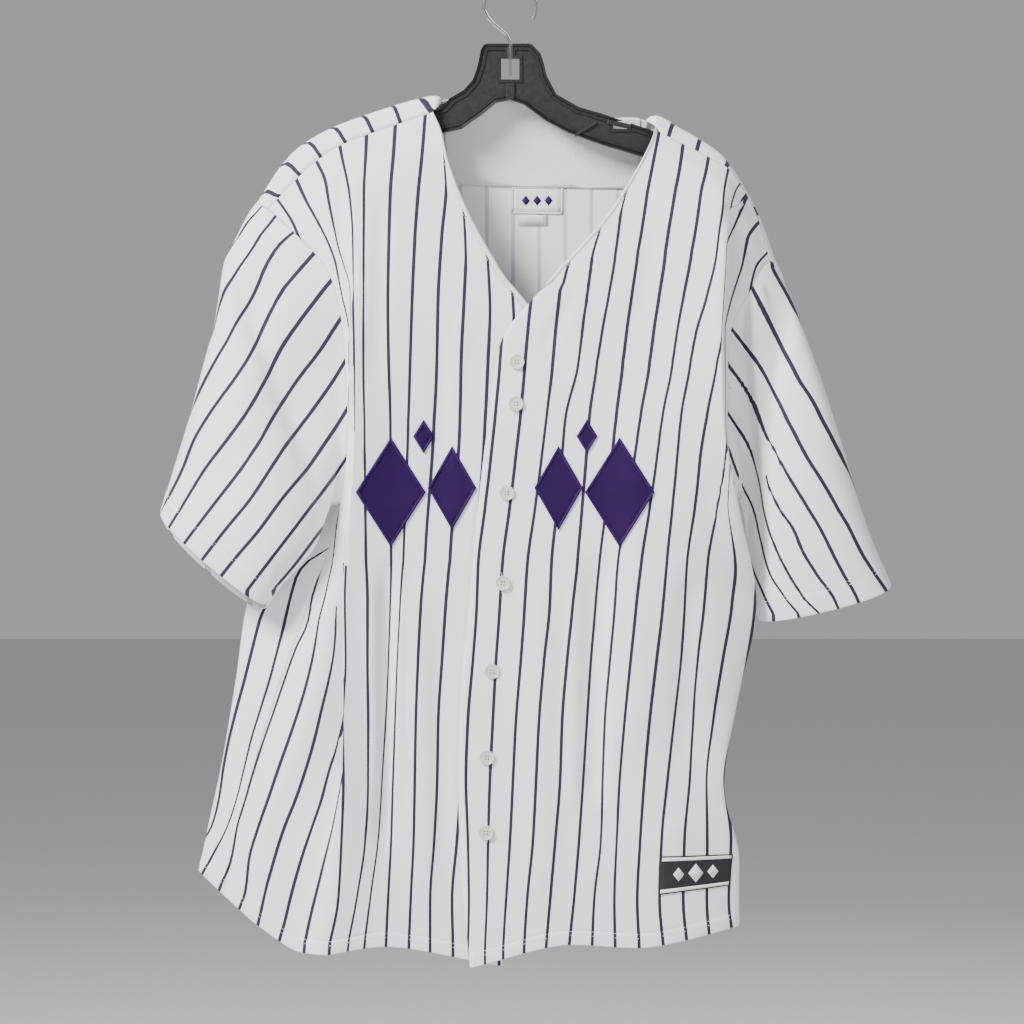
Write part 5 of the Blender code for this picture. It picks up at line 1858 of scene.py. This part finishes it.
@dataclass
class Hanger:
    """The moulded frame and its wire hook, with their small raised parts."""

    finishes: Finishes
    rim_width: float = 3.0
    rim_height: float = 1.2
    flat_facing: float = 0.9

    def block(self, name: str, low: tuple, high: tuple, slant: float = 0.0,
              round_by: float = 0.5) -> bpy.types.Object:
        """Model a small rounded moulding.

        Args:
            name: The piece's name.
            low: Its lowest corner.
            high: Its highest corner.
            slant: Turn about the depth axis, in degrees.
            round_by: Rounding of its edges, in millimetres.

        Returns:
            The piece.
        """
        bpy.ops.object.select_all(action="DESELECT")
        centre = [(a + b) / 2 * MM for a, b in zip(low, high)]
        bpy.ops.mesh.primitive_cube_add(size=1.0, location=centre)
        made = bpy.context.object
        made.name = name
        made.scale = [(b - a) * MM for a, b in zip(low, high)]
        made.rotation_euler = (0.0, math.radians(slant), 0.0)
        bpy.ops.object.transform_apply(location=True, rotation=True, scale=True)
        bevel = made.modifiers.new("round", "BEVEL")
        bevel.width = round_by * MM
        bevel.segments = 3
        bpy.ops.object.modifier_apply(modifier="round")
        made.data.materials.append(self.finishes.plastic)
        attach(made, "root")
        return made

    def rim(self, frame: bpy.types.Object) -> None:
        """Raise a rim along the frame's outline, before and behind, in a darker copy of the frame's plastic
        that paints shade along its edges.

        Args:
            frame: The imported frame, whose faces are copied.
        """
        bpy.ops.object.select_all(action="DESELECT")
        made = bpy.data.objects.new("frame_rim", frame.data.copy())
        bpy.context.scene.collection.objects.link(made)
        made.data.materials.clear()
        made.data.materials.append(self.finishes.rim)
        bpy.context.view_layer.objects.active = made
        made.select_set(True)
        bpy.ops.object.mode_set(mode="EDIT")
        bpy.ops.mesh.select_all(action="SELECT")
        bpy.ops.mesh.remove_doubles(threshold=0.00001)
        bpy.ops.mesh.select_all(action="DESELECT")
        bpy.ops.object.mode_set(mode="OBJECT")
        for face in made.data.polygons:
            face.select = abs(face.normal.y) > self.flat_facing
        bpy.ops.object.mode_set(mode="EDIT")
        bpy.ops.mesh.select_mode(type="FACE")
        bpy.ops.mesh.dissolve_limited(angle_limit=0.02)
        bpy.ops.mesh.inset(thickness=self.rim_width * MM, use_boundary=True, use_even_offset=True)
        bpy.ops.mesh.delete(type="FACE")
        bpy.ops.object.mode_set(mode="OBJECT")
        for face in made.data.polygons:
            face.select = abs(face.normal.y) < self.flat_facing
        bpy.ops.object.mode_set(mode="EDIT")
        bpy.ops.mesh.delete(type="FACE")
        bpy.ops.object.mode_set(mode="OBJECT")
        raised = made.modifiers.new("raised", "SOLIDIFY")
        raised.thickness = self.rim_height * MM
        raised.offset = 0.9
        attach(made, "root")

    def build(self, nodes: dict) -> None:
        """Dress the frame and hook and add the frame's raised parts.

        Args:
            nodes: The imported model's nodes.
        """
        for name, paint, width in (("hanger", self.finishes.plastic, 0.7),
                                   ("hook_wire", self.finishes.wire, 0.0)):
            made = nodes[name]
            made.data.materials.clear()
            made.data.materials.append(paint)
            if width:
                rounded = made.modifiers.new("rounded", "BEVEL")
                rounded.width = width * MM
                rounded.segments = 2
                rounded.limit_method = "ANGLE"
                rounded.angle_limit = math.radians(40)
            else:
                smooth(made)
        self.rim(nodes["hanger"])
        self.block("frame_middle_rib", (-3.6, -4.2, -112.5), (4.2, -1.9, -97.0))
        self.block("strap_bar", (93.0, -4.3, -139.0), (116.5, -1.8, -134.2), 13.0, 0.8)
        self.block("frame_slant_rib", (60.5, -4.2, -142.5), (85.0, -1.9, -139.8), -32.0)
        LOG.info("hanger dressed")


@dataclass
class Studio:
    """Floor, light and the camera at the photograph's place."""

    distance: float = 3.6
    width: float = 0.9728
    middle: tuple = (0.0019, -0.040, -0.5087)
    floor: float = -1.30

    def light(self, name: str, place: tuple, size: float, power: float, colour: tuple) -> None:
        """Hang one soft light that looks at the jersey.

        Args:
            name: The light's name.
            place: Where it hangs.
            size: Its side.
            power: Its strength in watts.
            colour: Its colour.
        """
        lamp = bpy.data.lights.new(name, "AREA")
        lamp.size = size
        lamp.energy = power
        lamp.color = colour
        made = bpy.data.objects.new(name, lamp)
        bpy.context.scene.collection.objects.link(made)
        made.location = place
        aim = Vector(self.middle) - Vector(place)
        made.rotation_euler = aim.to_track_quat("-Z", "Y").to_euler()

    def build(self) -> None:
        """Set up the studio."""
        bpy.ops.object.select_all(action="DESELECT")
        bpy.ops.mesh.primitive_plane_add(size=40.0, location=(0.0, 0.0, self.floor))
        floor = bpy.context.object
        floor.name = "studio_floor"
        desk = Desk("pale_floor")
        desk.set(Base_Color=(0.70, 0.705, 0.71, 1.0), Roughness=0.9)
        floor.data.materials.append(desk.paint)
        world = bpy.data.worlds.new("pale_air")
        bpy.context.scene.world = world
        world.use_nodes = True
        air = world.node_tree.nodes["Background"]
        air.inputs[0].default_value = (0.46, 0.47, 0.49, 1.0)
        air.inputs[1].default_value = 0.8
        self.light("key", (-1.7, -1.7, 1.3), 0.9, 205.0, (1.0, 0.985, 0.96))
        self.light("fill", (2.0, -2.4, -0.2), 1.8, 30.0, (0.94, 0.97, 1.0))
        self.light("rim", (0.8, 2.2, 1.2), 1.2, 22.0, (1.0, 1.0, 1.0))
        eye = bpy.data.cameras.new("camera")
        eye.sensor_width = 36.0
        eye.lens = 36.0 * self.distance / self.width
        camera = bpy.data.objects.new("camera", eye)
        bpy.context.scene.collection.objects.link(camera)
        camera.location = Vector(self.middle) + Vector((0.0, -self.distance, 0.0))
        camera.rotation_euler = (math.pi / 2, 0.0, 0.0)
        eye.clip_end = 60.0
        bpy.context.scene.camera = camera


def main() -> None:
    """Load the frame and build every piece in order."""
    logging.basicConfig(level=logging.INFO, format="%(message)s")
    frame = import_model()
    finishes = Finishes().make()
    garment = Garment(finishes)
    garment.build()
    Sewing(finishes).build(garment)
    Trims(finishes).build(garment)
    Button(finishes).build(garment)
    Hanger(finishes).build(frame["nodes"])
    Studio().build()


if __name__ == "__main__":
    main()
